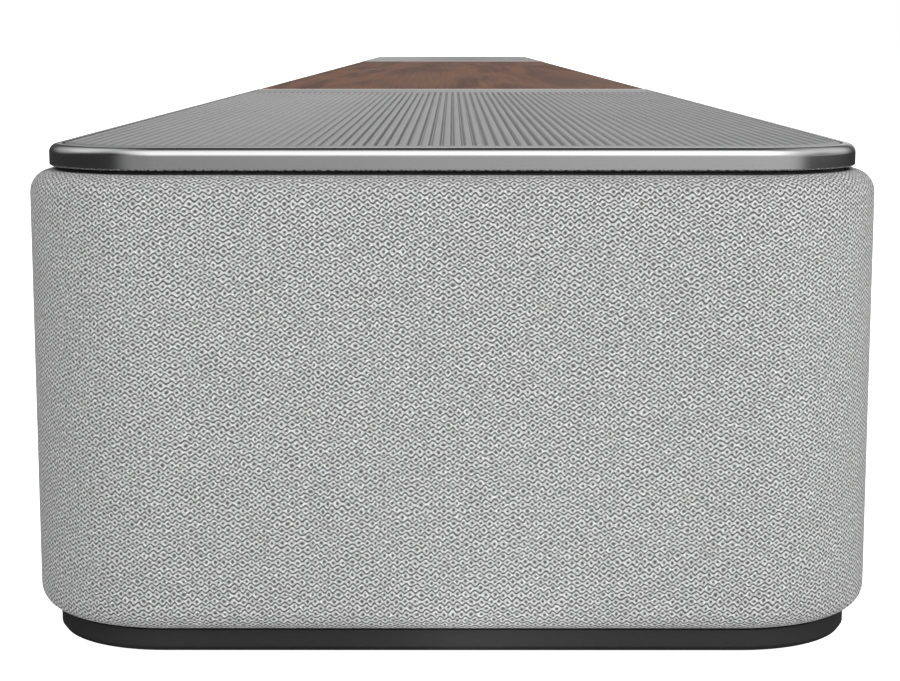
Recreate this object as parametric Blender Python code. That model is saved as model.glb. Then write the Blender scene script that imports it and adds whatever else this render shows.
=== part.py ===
"""A long, low soundbar: a fabric-wrapped cabinet on a black base, under a metal-rimmed top.

The top has a wood panel between two ribbed grilles. Below it are four woofers, two
upward-firing drivers, four front drivers, a horn tweeter, two side drivers and the electronics.

X runs along the bar, the front faces -Y and +Z is up. The origin is on the surface that the
feet stand on, under the middle of the bar. All sizes are in metres.
"""

import math

import bmesh
import bpy
from mathutils import Vector

# Overall size of the fabric body, in plan.
BAR_LENGTH = 1.372
BAR_DEPTH = 0.126
CORNER_RADIUS = 0.021

# Clearances. A seated piece keeps FIT_GAP to its neighbour.
FIT_GAP = 0.0003
SLIDING_GAP = 0.0004

# Heights, from the floor up.
FOOT_HEIGHT = 0.0031
BASE_THICKNESS = 0.0032
FABRIC_HEIGHT = 0.0656
SHADOW_GAP = 0.0006
TRIM_HEIGHT = 0.0032

BASE_BOTTOM = FOOT_HEIGHT
BASE_TOP = BASE_BOTTOM + BASE_THICKNESS
FABRIC_BOTTOM = BASE_TOP + FIT_GAP
FABRIC_TOP = FABRIC_BOTTOM + FABRIC_HEIGHT
TRIM_BOTTOM = FABRIC_TOP + SHADOW_GAP
TRIM_TOP = TRIM_BOTTOM + TRIM_HEIGHT

# Skin: the knitted fabric, and the frame that it is stretched over.
FABRIC_THICKNESS = 0.0010
FABRIC_TOP_FILLET = 0.0033
FABRIC_BOTTOM_FILLET = 0.0032
FABRIC_TOP_LIP = 0.0043
FABRIC_BOTTOM_LIP = 0.0080
FRAME_WALL = 0.0022
FRAME_INSET = FABRIC_THICKNESS + FIT_GAP
REAR_SEAM_X = BAR_LENGTH / 2 - 0.086

# Base tray and feet.
BASE_INSET = 0.0033
BASE_CHAMFER = 0.0006
FOOT_RADIUS = 0.0090
FOOT_EDGE = 0.0006
FOOT_SPIGOT_RADIUS = 0.0070
FOOT_SPIGOT_HEIGHT = 0.0013
FOOT_X = BAR_LENGTH / 2 - 0.126
FOOT_Y = BAR_DEPTH / 2 - 0.025

# Cabinet: a tub with a window in front for the baffle and one behind for the sockets.
CABINET_INSET = FRAME_INSET + FRAME_WALL + FIT_GAP
CABINET_WALL = 0.0025
DECK_THICKNESS = 0.0030
DECK_TOP = TRIM_BOTTOM - FIT_GAP
DECK_BOTTOM = DECK_TOP - DECK_THICKNESS
DECK_INSET = FABRIC_TOP_LIP + FIT_GAP
CABINET_BOTTOM = FABRIC_BOTTOM + FABRIC_THICKNESS + FIT_GAP
CABINET_TOP = DECK_BOTTOM - FIT_GAP
CABINET_FLOOR = CABINET_BOTTOM + CABINET_WALL
CABINET_HALF_DEPTH = BAR_DEPTH / 2 - CABINET_INSET
CABINET_HALF_LENGTH = BAR_LENGTH / 2 - CABINET_INSET
WINDOW_MARGIN = 0.0014
BAFFLE_THICKNESS = 0.0030
BAFFLE_HALF_LENGTH = BAR_LENGTH / 2 - CORNER_RADIUS - 0.003

# Top: metal trim, two ribbed grilles let into it, and a wood panel across its middle.
TRIM_INSET = 0.0033
TRIM_FILLET = 0.0013
RIM_WIDTH = 0.0019
GRILLE_LEDGE = 0.0040
GRILLE_THICKNESS = 0.0020
WOOD_THICKNESS = 0.0016
WOOD_EDGE_FILLET = 0.0013
WOOD_SIDE_INSET = 0.0006
END_SECTION = 0.330
CROSSBAR_WIDTH = 0.0080
TRIM_HALF_LENGTH = BAR_LENGTH / 2 - TRIM_INSET
TRIM_HALF_DEPTH = BAR_DEPTH / 2 - TRIM_INSET
TRIM_RADIUS = CORNER_RADIUS - TRIM_INSET
WOOD_HALF_LENGTH = TRIM_HALF_LENGTH - END_SECTION
WOOD_HALF_DEPTH = TRIM_HALF_DEPTH - WOOD_SIDE_INSET
GRILLE_INNER_X = WOOD_HALF_LENGTH + CROSSBAR_WIDTH
GRILLE_INSET = RIM_WIDTH + FIT_GAP
GRILLE_BOTTOM = TRIM_TOP - GRILLE_THICKNESS
WOOD_BOTTOM = TRIM_TOP - WOOD_THICKNESS
WOOD_BED = WOOD_BOTTOM - FIT_GAP

# Grooves cut along the grilles.
GROOVE_PITCH = 0.0016135
GROOVE_TOP_WIDTH = 0.00084
GROOVE_FLOOR_WIDTH = 0.00016
GROOVE_DEPTH = 0.0007
GROOVE_RISE = 0.0010  # how far the groove cutter reaches above the grille
GROOVE_SIDE_MARGIN = 0.00275
GROOVE_END_MARGIN = 0.0070
GROOVE_INNER_MARGIN = 0.0295
GROOVE_CORNER_RADIUS = 0.0140

# Woofers fire upwards, on their backs under the deck.
WOOFER_X = (BAR_LENGTH / 2 - 0.198, BAR_LENGTH / 2 - 0.092)
WOOFER_RADIUS = 0.0510
WOOFER_RIM = 0.0054
WOOFER_OPENING = WOOFER_RADIUS - WOOFER_RIM
WOOFER_FLANGE = 0.0030
WOOFER_DEPTH = 0.0440
WOOFER_HOLE = WOOFER_OPENING + SLIDING_GAP

# Small drivers share one design.
SMALL_RADIUS = 0.0285
SMALL_RIM = 0.0033
SMALL_OPENING = SMALL_RADIUS - SMALL_RIM
SMALL_FLANGE = 0.0020
SMALL_DEPTH = 0.0300
SMALL_HOLE_MARGIN = 0.0013
SMALL_HOLE = SMALL_OPENING + SMALL_HOLE_MARGIN
DRIVER_Z = (CABINET_FLOOR + DECK_BOTTOM) / 2

# Inside every driver, as shares of its radius and of its depth.
MAGNET_SHARE = 0.65
MAGNET_START = 0.53
COIL_SHARE = 0.26
COIL_GAP_END = 0.86
COIL_END = 0.68
CONE_DEPTH_SHARE = 0.31
SURROUND_SHARE = 0.14
COIL_WALL = 0.0008
COIL_CLEARANCE = 0.0007
CONE_WALL = 0.0008
DUST_CAP_RISE = 0.0042
SURROUND_RISE = 0.0009

# The upward-firing drivers lean forward in a pod under the deck, at the inner end of each grille.
UPFIRING_TILT = math.radians(20)
UPFIRING_Z = DECK_BOTTOM - 0.0125
POD_SEAT_MARGIN = 0.0030
POD_WALL = 0.0025
POD_FRONT_WALL = 0.0055
POD_FLOOR = 0.0025
POD_GRILLE_MARGIN = 0.0038
POD_BORE = (SMALL_RADIUS + SMALL_OPENING) / 2 + FIT_GAP
POD_SEAT_HALF = SMALL_RADIUS + POD_SEAT_MARGIN
POD_HALF = POD_SEAT_HALF + POD_WALL
POD_HALF_DEPTH = POD_SEAT_HALF + POD_FRONT_WALL
UPFIRING_X = GRILLE_INNER_X + GRILLE_LEDGE + POD_SEAT_HALF + POD_GRILLE_MARGIN

# Bulkheads on the inner side of the pods, and the front drivers between them.
BULKHEAD_MARGIN = 0.0133
BULKHEAD_X = UPFIRING_X - POD_HALF - BULKHEAD_MARGIN
FRONT_INNER_X = 0.070
FRONT_OUTER_MARGIN = 0.0142
FRONT_OUTER_X = BULKHEAD_X - SMALL_RADIUS - FRONT_OUTER_MARGIN
FRONT_DRIVER_X = (-FRONT_OUTER_X, -FRONT_INNER_X, FRONT_INNER_X, FRONT_OUTER_X)

# Horn tweeter, between the two centre drivers.
TWEETER_RADIUS = 0.0200
TWEETER_MOUTH = 0.0175
TWEETER_DEPTH = 0.0240
TWEETER_BODY = 0.8 * TWEETER_RADIUS
TWEETER_SHOULDER = 0.4 * TWEETER_DEPTH
HORN_THROAT = 0.0095
HORN_THROAT_DEPTH = 0.0092
HORN_WAIST = 0.0025
HORN_WAIST_DEPTH = 0.0045
DOME_RADIUS = 0.6 * HORN_THROAT
DOME_TOP = 0.0060
DOME_RISE = 0.0007

# Controls: four buttons through the wood panel, near its front edge.
BUTTON_X = (-0.0225, -0.0075, 0.0075, 0.0225)
BUTTON_Y = -BAR_DEPTH / 2 + 0.025
BUTTON_RADIUS = 0.0046
BUTTON_FLANGE_RADIUS = 0.0057
BUTTON_FLANGE_THICKNESS = 0.0009
BUTTON_STEM_RADIUS = 0.0016
BUTTON_TRAVEL = 0.0008
SWITCH_TOP = DECK_BOTTOM - 0.0041

# Electronics. Each board lies on four posts of the cabinet floor: low x, low y, high x, high y.
BOARD_THICKNESS = 0.0016
BOARD_Z = CABINET_FLOOR + 0.0030
BOARDS = {
    "main_board": (-0.105, -0.022, 0.105, 0.016),
    "power_supply": (0.130, -0.016, 0.268, 0.046),
}
POST_HALF = 0.0025
POST_MARGIN = 0.0050
BUTTON_BOARD_MARGIN = 0.0090
BUTTON_BOARD_HALF_DEPTH = 0.0080
SWITCH_HEIGHT = 0.0012
SWITCH_HALF = 0.0030
DISPLAY_MIDDLE = (FRONT_INNER_X + FRONT_OUTER_X) / 2
DISPLAY_WIDTH = 0.090
DISPLAY_X = (DISPLAY_MIDDLE - DISPLAY_WIDTH / 2, DISPLAY_MIDDLE + DISPLAY_WIDTH / 2)
DISPLAY_Z = (DRIVER_Z - 0.0130, DRIVER_Z + 0.0130)
DISPLAY_THICKNESS = 0.0060
DISPLAY_OVERLAP = 0.0030
ANTENNA_X = (-0.230, -0.175)
ANTENNA_Y = (0.010, 0.024)

# Tall parts on the boards, from a board's low corner: middle x and y, half sizes, height.
COMPONENTS = {
    "main_board": [
        (0.025, 0.022, 0.012, 0.010, 0.008), (0.175, 0.018, 0.014, 0.012, 0.003)],
    "power_supply": [
        (0.035, 0.031, 0.016, 0.018, 0.024), (0.075, 0.031, 0.012, 0.012, 0.030),
        (0.115, 0.028, 0.010, 0.020, 0.016)],
}

# Heat sink over the amplifier chips.
SINK_HALF_LENGTH = 0.045
SINK_Y = (-0.018, 0.010)
SINK_PLATE = 0.0040
SINK_FIN_HEIGHT = 0.0180
SINK_FIN = 0.0030
SINK_FINS = 9

# Rear cover, with the bay for the sockets, and the inserts for a wall bracket.
BAY_HALF_LENGTH = 0.110
BAY_BOTTOM = CABINET_FLOOR + 0.0040
BAY_HEIGHT = 0.0360
BAY_TOP = BAY_BOTTOM + BAY_HEIGHT
BAY_DEPTH = 0.0280
BAY_WALL = 0.0020
IO_PLATE_THICKNESS = 0.0020
COVER_WALL = FRAME_INSET + FRAME_WALL
INSERT_X = 0.300
INSERT_Z = 0.040
INSERT_RADIUS = 0.0040
INSERT_BORE = 0.0025
INSERT_LENGTH = 0.0090
BOSS_RADIUS = 0.0072
BOSS_DEPTH = 0.0120

REAR_Y = BAR_DEPTH / 2
IO_FACE_Y = REAR_Y - BAY_DEPTH
FRONT_SEAT_Y = -CABINET_HALF_DEPTH + BAFFLE_THICKNESS + FIT_GAP
CUT = 0.004  # how far a cutter reaches past the wall that it cuts

# Facets: per rounded plan corner, and round each kind of turned piece.
CORNER_SEGMENTS = 4
WOOFER_SIDES = 16
SMALL_SIDES = 12
BUTTON_SIDES = 12
FOOT_SIDES = 16


# Materials: name -> (red, green, blue), roughness, metallic. Colours are linear.
FINISHES = {
    "grey_knit": ((0.42, 0.42, 0.42), 0.95, 0.0),
    "satin_metal": ((0.30, 0.30, 0.31), 0.32, 0.9),
    "walnut": ((0.17, 0.085, 0.05), 0.5, 0.0),
    "black_plastic": ((0.03, 0.03, 0.032), 0.55, 0.0),
    "black_rubber": ((0.018, 0.018, 0.018), 0.85, 0.0),
    "paper_cone": ((0.04, 0.04, 0.045), 0.8, 0.0),
    "steel": ((0.32, 0.32, 0.33), 0.4, 1.0),
    "circuit_board": ((0.02, 0.12, 0.05), 0.5, 0.0),
    "heat_sink_metal": ((0.5, 0.5, 0.52), 0.4, 1.0),
    "brass": ((0.62, 0.44, 0.16), 0.35, 1.0),
}


def material(name):
    """The named finish, made once."""
    made = bpy.data.materials.get(name)
    if made:
        return made
    colour, roughness, metallic = FINISHES[name]
    made = bpy.data.materials.new(name)
    made.use_nodes = True
    shader = made.node_tree.nodes["Principled BSDF"]
    shader.inputs["Base Color"].default_value = (*colour, 1)
    shader.inputs["Roughness"].default_value = roughness
    shader.inputs["Metallic"].default_value = metallic
    return made


def new_object(name, bm, finish=None, smooth=False):
    """An object from a bmesh. One with no finish is a cutter or a helper."""
    bmesh.ops.remove_doubles(bm, verts=bm.verts, dist=1e-7)
    bmesh.ops.recalc_face_normals(bm, faces=bm.faces)
    mesh = bpy.data.meshes.new(name)
    bm.to_mesh(mesh)
    bm.free()
    if smooth:
        mesh.shade_smooth()
        mesh.set_sharp_from_angle(angle=math.radians(35))
    made = bpy.data.objects.new(name, mesh)
    bpy.context.scene.collection.objects.link(made)
    if finish:
        mesh.materials.append(material(finish))
    else:
        made.hide_render = True
        made.display_type = "WIRE"
    return made


def boolean(target, other, operation):
    """Adds a live Boolean; the other object becomes a hidden helper."""
    modifier = target.modifiers.new(other.name, "BOOLEAN")
    modifier.operation = operation
    modifier.object = other
    other.hide_render = True
    other.display_type = "WIRE"


def cut(target, *cutters):
    for cutter in cutters:
        boolean(target, cutter, "DIFFERENCE")


def add(target, *others):
    for other in others:
        boolean(target, other, "UNION")


def rounded_outline(half_length, half_depth, radius, segments=CORNER_SEGMENTS):
    """Corner points of a rounded rectangle, anticlockwise."""
    points = []
    centres = ((1, 1, 0), (-1, 1, 90), (-1, -1, 180), (1, -1, 270))
    for side_x, side_y, start in centres:
        centre = Vector((side_x * (half_length - radius), side_y * (half_depth - radius)))
        for step in range(segments + 1):
            angle = math.radians(start + 90 * step / segments)
            points.append(centre + radius * Vector((math.cos(angle), math.sin(angle))))
    return points


def inset_outline(inset):
    """The bar's plan outline, drawn inwards by a distance."""
    return rounded_outline(BAR_LENGTH / 2 - inset, BAR_DEPTH / 2 - inset, CORNER_RADIUS - inset)


def extruded(points, low, high):
    """A bmesh prism over an outline, between two heights."""
    bm = bmesh.new()
    face = bm.faces.new([bm.verts.new((p[0], p[1], low)) for p in points])
    grown = bmesh.ops.extrude_face_region(bm, geom=[face])
    moved = [v for v in grown["geom"] if isinstance(v, bmesh.types.BMVert)]
    bmesh.ops.translate(bm, verts=moved, vec=(0, 0, high - low))
    return bm


def round_rim(bm, height, width, segments=2):
    """Rounds the edges that lie at a height."""
    rim = [e for e in bm.edges if all(abs(v.co.z - height) < 1e-6 for v in e.verts)]
    bmesh.ops.bevel(
        bm, geom=rim, offset=width, offset_type="OFFSET", segments=segments, profile=0.5,
        affect="EDGES", clamp_overlap=True,
    )


def box(name, low, high, finish=None):
    bm = bmesh.new()
    bmesh.ops.create_cube(bm, size=1)
    low, high = Vector(low), Vector(high)
    bmesh.ops.scale(bm, verts=bm.verts, vec=high - low)
    bmesh.ops.translate(bm, verts=bm.verts, vec=(low + high) / 2)
    return new_object(name, bm, finish)


def turned(profile, sides):
    """A bmesh turned about Z from (radius, height) points, from axis to axis or as a closed ring."""
    bm = bmesh.new()
    points = [bm.verts.new((radius, 0, height)) for radius, height in profile]
    pairs = list(zip(points, points[1:]))
    if profile[0][0] > 0:
        pairs.append((points[-1], points[0]))
    edges = [bm.edges.new(pair) for pair in pairs]
    bmesh.ops.spin(
        bm, geom=points + edges, cent=(0, 0, 0), axis=(0, 0, 1),
        angle=2 * math.pi, steps=sides, use_merge=True,
    )
    return bm


def cylinder(name, radius, low, high, sides=24, finish=None):
    """A solid round bar along Z."""
    return new_object(name, turned([(0, low), (radius, low), (radius, high), (0, high)], sides), finish)


def aimed(obj, position, direction):
    """Places an object made along +Z so that it points along a direction."""
    obj.location = position
    obj.rotation_euler = Vector(direction).to_track_quat("Z", "Y").to_euler()
    return obj


# ---------------------------------------------------------------- skin

def skin_slab(name, inset, low, high, top_fillet, bottom_fillet, finish=None):
    """A full slab with the bar's outline and rounded rims."""
    bm = extruded(inset_outline(inset), low, high)
    round_rim(bm, high, top_fillet)
    round_rim(bm, low, bottom_fillet)
    return new_object(name, bm, finish, smooth=True)


def rear_gap(name, extra):
    """Cutter that opens the skin behind, between the two rear seams."""
    half = REAR_SEAM_X + extra
    return box(
        name,
        (-half, BAR_DEPTH / 2 - CORNER_RADIUS, FABRIC_BOTTOM - CUT),
        (half, BAR_DEPTH / 2 + CUT, FABRIC_TOP + CUT),
    )


def build_fabric():
    """Knitted sleeve: round the front and the ends, turned in over the frame's top and bottom."""
    sleeve = skin_slab(
        "fabric_sleeve", 0, FABRIC_BOTTOM, FABRIC_TOP,
        FABRIC_TOP_FILLET, FABRIC_BOTTOM_FILLET, "grey_knit",
    )
    t = FABRIC_THICKNESS
    hollow = skin_slab(
        "fabric_hollow", t, FABRIC_BOTTOM + t, FABRIC_TOP - t,
        FABRIC_TOP_FILLET - t, FABRIC_BOTTOM_FILLET - t,
    )
    top = new_object("fabric_top_mouth", extruded(
        inset_outline(FABRIC_TOP_LIP), FABRIC_TOP - CUT, FABRIC_TOP + CUT))
    bottom = new_object("fabric_bottom_mouth", extruded(
        inset_outline(FABRIC_BOTTOM_LIP), FABRIC_BOTTOM - CUT, FABRIC_BOTTOM + CUT))
    cut(sleeve, hollow, top, bottom, rear_gap("fabric_rear_gap", FIT_GAP))


def build_frame():
    """Moulded frame behind the fabric, with a window in front of each driver and the display."""
    low = FABRIC_BOTTOM + FRAME_INSET
    high = FABRIC_TOP - FRAME_INSET
    frame = skin_slab(
        "grille_frame", FRAME_INSET, low, high,
        FABRIC_TOP_FILLET - FRAME_INSET, FABRIC_BOTTOM_FILLET - FRAME_INSET, "black_plastic",
    )
    inner = new_object("frame_hollow", extruded(
        inset_outline(FRAME_INSET + FRAME_WALL), low - CUT, high + CUT))
    cut(frame, inner, rear_gap("frame_rear_gap", FIT_GAP))
    window_low = DRIVER_Z - SMALL_HOLE
    window_high = DRIVER_Z + SMALL_HOLE
    centre_span = FRONT_DRIVER_X[2] + SMALL_RADIUS
    spans = [(x - SMALL_RADIUS, x + SMALL_RADIUS) for x in (FRONT_DRIVER_X[0], FRONT_DRIVER_X[-1])]
    spans += [(-centre_span, centre_span), (DISPLAY_X[0], DISPLAY_X[1])]
    for number, (start, end) in enumerate(spans):
        cut(frame, box(
            f"frame_window_{number}",
            (start, -BAR_DEPTH / 2 - CUT, window_low), (end, -BAR_DEPTH / 2 + 2 * CUT, window_high)))
    end_x = BAR_LENGTH / 2
    for side in (-1, 1):
        cut(frame, box(
            f"frame_end_window_{side}",
            (side * end_x - 2 * CUT, -SMALL_HOLE, window_low),
            (side * end_x + 2 * CUT, SMALL_HOLE, window_high)))


# ---------------------------------------------------------------- base and cabinet

def foot_places():
    return [
        (f"foot_{depth_name}_{side_name}", side * FOOT_X, depth * FOOT_Y)
        for depth_name, depth in (("front", -1), ("rear", 1))
        for side_name, side in (("left", -1), ("right", 1))
    ]


def build_base():
    """Flat black tray under the cabinet, with pockets for the rubber feet."""
    bm = extruded(inset_outline(BASE_INSET), BASE_BOTTOM, BASE_TOP)
    round_rim(bm, BASE_BOTTOM, BASE_CHAMFER, segments=1)
    base = new_object("base_tray", bm, "black_plastic", smooth=True)
    for name, x, y in foot_places():
        pocket = cylinder(
            f"{name}_pocket", FOOT_SPIGOT_RADIUS + FIT_GAP,
            BASE_BOTTOM - CUT, BASE_BOTTOM + FOOT_SPIGOT_HEIGHT, FOOT_SIDES)
        pocket.location = (x, y, 0)
        cut(base, pocket)
        shoulder = FOOT_HEIGHT - FIT_GAP
        spigot_top = FOOT_HEIGHT + FOOT_SPIGOT_HEIGHT - FIT_GAP
        foot = new_object(name, turned([
            (0, 0), (FOOT_RADIUS - FOOT_EDGE, 0), (FOOT_RADIUS, FOOT_EDGE), (FOOT_RADIUS, shoulder),
            (FOOT_SPIGOT_RADIUS, shoulder), (FOOT_SPIGOT_RADIUS, spigot_top), (0, spigot_top),
        ], FOOT_SIDES), "black_rubber", smooth=True)
        foot.location = (x, y, 0)


def build_cabinet():
    """Tub that carries everything, with two bulkheads that close the woofer chambers.

    Its foot stands on the base tray, inside the fabric's turned-in edge.
    """
    bm = extruded(inset_outline(CABINET_INSET), CABINET_BOTTOM, CABINET_TOP)
    cabinet = new_object("cabinet", bm, "black_plastic", smooth=True)
    add(cabinet, new_object("cabinet_foot", extruded(
        inset_outline(FABRIC_BOTTOM_LIP + FIT_GAP), FABRIC_BOTTOM, CABINET_BOTTOM + CABINET_WALL / 2)))
    hollow = new_object("cabinet_hollow", extruded(
        inset_outline(CABINET_INSET + CABINET_WALL), CABINET_FLOOR, CABINET_TOP + CUT))
    cut(cabinet, hollow)
    inside = CABINET_HALF_DEPTH - CABINET_WALL
    for side in (-1, 1):
        add(cabinet, box(
            f"bulkhead_{side}",
            (side * BULKHEAD_X - CABINET_WALL / 2, -inside - CABINET_WALL / 2,
             CABINET_FLOOR - CABINET_WALL / 2),
            (side * BULKHEAD_X + CABINET_WALL / 2, inside + CABINET_WALL / 2, CABINET_TOP)))
    window_low = CABINET_FLOOR + WINDOW_MARGIN
    window_high = CABINET_TOP - WINDOW_MARGIN
    cut(cabinet, box(
        "baffle_window",
        (-BAFFLE_HALF_LENGTH, -CABINET_HALF_DEPTH - CUT, window_low),
        (BAFFLE_HALF_LENGTH, -CABINET_HALF_DEPTH + BAFFLE_THICKNESS + FIT_GAP, window_high)))
    cut(cabinet, box(
        "bay_window",
        (-BAY_HALF_LENGTH - BAY_WALL - FIT_GAP, inside - CUT, BAY_BOTTOM - BAY_WALL - FIT_GAP),
        (BAY_HALF_LENGTH + BAY_WALL + FIT_GAP, CABINET_HALF_DEPTH + CUT, BAY_TOP + BAY_WALL + FIT_GAP)))
    for side in (-1, 1):
        boss_hole = cylinder(f"boss_hole_{side}", BOSS_RADIUS + FIT_GAP, -CUT, CUT, FOOT_SIDES)
        cut(cabinet, aimed(boss_hole, (side * INSERT_X, CABINET_HALF_DEPTH, INSERT_Z), (0, 1, 0)))
        driver_hole = cylinder(f"side_hole_{side}", SMALL_HOLE, -CUT, CUT, SMALL_SIDES)
        cut(cabinet, aimed(driver_hole, (side * CABINET_HALF_LENGTH, 0, DRIVER_Z), (side, 0, 0)))
    for name, (low_x, low_y, high_x, high_y) in BOARDS.items():
        for x in (low_x + POST_MARGIN, high_x - POST_MARGIN):
            for y in (low_y + POST_MARGIN, high_y - POST_MARGIN):
                add(cabinet, box(
                    f"{name}_post_{x:.3f}_{y:.3f}",
                    (x - POST_HALF, y - POST_HALF, CABINET_FLOOR - CABINET_WALL / 2),
                    (x + POST_HALF, y + POST_HALF, BOARD_Z - FIT_GAP)))


def build_baffle():
    """Front panel with a hole for each front driver, the tweeter and the display."""
    low = CABINET_FLOOR + WINDOW_MARGIN + FIT_GAP
    high = CABINET_TOP - WINDOW_MARGIN - FIT_GAP
    half = BAFFLE_HALF_LENGTH - FIT_GAP
    baffle = box(
        "front_baffle", (-half, -CABINET_HALF_DEPTH, low),
        (half, -CABINET_HALF_DEPTH + BAFFLE_THICKNESS, high), "black_plastic")
    holes = [(x, SMALL_HOLE) for x in FRONT_DRIVER_X] + [(0, TWEETER_MOUTH)]
    for number, (x, radius) in enumerate(holes):
        hole = cylinder(f"baffle_hole_{number}", radius, -CUT, CUT + BAFFLE_THICKNESS, SMALL_SIDES)
        cut(baffle, aimed(hole, (x, -CABINET_HALF_DEPTH, DRIVER_Z), (0, 1, 0)))
    cut(baffle, box(
        "display_hole",
        (DISPLAY_X[0] + DISPLAY_OVERLAP, -CABINET_HALF_DEPTH - CUT, DISPLAY_Z[0] + DISPLAY_OVERLAP),
        (DISPLAY_X[1] - DISPLAY_OVERLAP, -CABINET_HALF_DEPTH + BAFFLE_THICKNESS + CUT,
         DISPLAY_Z[1] - DISPLAY_OVERLAP)))


def build_deck():
    """Black deck under the trim, with the woofer holes and a leaning pod at each end."""
    bm = extruded(inset_outline(DECK_INSET), DECK_BOTTOM, DECK_TOP)
    deck = new_object("top_deck", bm, "black_plastic", smooth=True)
    seat_drop = SMALL_FLANGE + FIT_GAP
    pod_bottom = (
        UPFIRING_Z - seat_drop * math.cos(UPFIRING_TILT)
        - POD_SEAT_HALF * math.sin(UPFIRING_TILT) - POD_FLOOR
    )
    for side in (-1, 1):
        x = side * UPFIRING_X
        add(deck, box(
            f"pod_{side}", (x - POD_HALF, -POD_HALF_DEPTH, pod_bottom),
            (x + POD_HALF, POD_HALF_DEPTH, DECK_BOTTOM + DECK_THICKNESS / 2)))
    for side in (-1, 1):
        x = side * UPFIRING_X
        facing = (0, -math.sin(UPFIRING_TILT), math.cos(UPFIRING_TILT))
        seat = box(
            f"pod_seat_{side}", (-POD_SEAT_HALF, -POD_SEAT_HALF, -seat_drop),
            (POD_SEAT_HALF, POD_SEAT_HALF, POD_SEAT_HALF))
        seat.location = (x, 0, UPFIRING_Z)
        seat.rotation_euler = (UPFIRING_TILT, 0, 0)
        bore = cylinder(f"pod_bore_{side}", POD_BORE, -2 * SMALL_DEPTH, 0, SMALL_SIDES)
        cut(deck, seat, aimed(bore, (x, 0, UPFIRING_Z), facing))
        for number, woofer_x in enumerate(WOOFER_X):
            hole = cylinder(
                f"deck_woofer_hole_{side}_{number}", WOOFER_HOLE,
                DECK_BOTTOM - CUT, DECK_TOP + CUT, WOOFER_SIDES)
            hole.location = (side * woofer_x, 0, 0)
            cut(deck, hole)
    for number, x in enumerate(BUTTON_X):
        hole = cylinder(
            f"deck_button_hole_{number}", BUTTON_FLANGE_RADIUS + SLIDING_GAP,
            DECK_BOTTOM - CUT, DECK_TOP + CUT, BUTTON_SIDES)
        hole.location = (x, BUTTON_Y, 0)
        cut(deck, hole)
    post_x = BUTTON_X[-1] + BUTTON_BOARD_MARGIN - POST_HALF
    for side in (-1, 1):
        add(deck, box(
            f"button_board_post_{side}",
            (side * post_x - POST_HALF, BUTTON_Y - POST_HALF, SWITCH_TOP - SWITCH_HEIGHT + FIT_GAP),
            (side * post_x + POST_HALF, BUTTON_Y + POST_HALF, DECK_BOTTOM + DECK_THICKNESS / 2)))


# ---------------------------------------------------------------- top

def end_outline(side, inner_x, inset):
    """Plan outline of an end section: round at the bar's end, square towards the middle."""
    outer = rounded_outline(TRIM_HALF_LENGTH - inset, TRIM_HALF_DEPTH - inset, TRIM_RADIUS - inset)
    half_depth = TRIM_HALF_DEPTH - inset
    end = [p for p in outer if p.x > 0]
    # the outline starts with the +Y corner and ends with the -Y corner
    half = len(end) // 2
    corners = end[:half] + [
        Vector((inner_x, half_depth)), Vector((inner_x, -half_depth))] + end[half:]
    return [Vector((side * p.x, p.y)) for p in corners]


def build_trim():
    """Metal top: a thin rim, a ledge for each grille and a low bed for the wood panel."""
    bm = extruded(
        rounded_outline(TRIM_HALF_LENGTH, TRIM_HALF_DEPTH, TRIM_RADIUS), TRIM_BOTTOM, TRIM_TOP)
    round_rim(bm, TRIM_TOP, TRIM_FILLET, segments=3)
    trim = new_object("top_trim", bm, "satin_metal", smooth=True)
    ledge_top = GRILLE_BOTTOM - FIT_GAP
    for side in (-1, 1):
        seat = new_object(f"grille_seat_{side}", extruded(
            end_outline(side, GRILLE_INNER_X, RIM_WIDTH), ledge_top, TRIM_TOP + CUT))
        through = new_object(f"grille_through_{side}", extruded(
            end_outline(side, GRILLE_INNER_X + GRILLE_LEDGE, RIM_WIDTH + GRILLE_LEDGE),
            TRIM_BOTTOM - CUT, TRIM_TOP + CUT))
        cut(trim, seat, through)
    cut(trim, box(
        "wood_bed", (-WOOD_HALF_LENGTH, -BAR_DEPTH, WOOD_BED),
        (WOOD_HALF_LENGTH, BAR_DEPTH, TRIM_TOP + CUT)))
    for number, x in enumerate(BUTTON_X):
        hole = cylinder(
            f"trim_button_hole_{number}", BUTTON_FLANGE_RADIUS + SLIDING_GAP,
            TRIM_BOTTOM - CUT, TRIM_TOP + CUT, BUTTON_SIDES)
        hole.location = (x, BUTTON_Y, 0)
        cut(trim, hole)


def groove_end(y):
    """Where a groove stops at the bar's end, so that the pattern has rounded corners."""
    reach = TRIM_HALF_DEPTH - GROOVE_SIDE_MARGIN - GROOVE_CORNER_RADIUS
    past = max(0.0, abs(y) - reach)
    drop = GROOVE_CORNER_RADIUS - math.sqrt(GROOVE_CORNER_RADIUS**2 - past**2)
    return TRIM_HALF_LENGTH - GROOVE_END_MARGIN - drop


def groove_count():
    """An odd number of grooves, as many as fit between the side margins."""
    span = TRIM_HALF_DEPTH - GROOVE_SIDE_MARGIN - GROOVE_TOP_WIDTH / 2
    return 2 * int(span / GROOVE_PITCH + 1e-6) + 1


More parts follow.
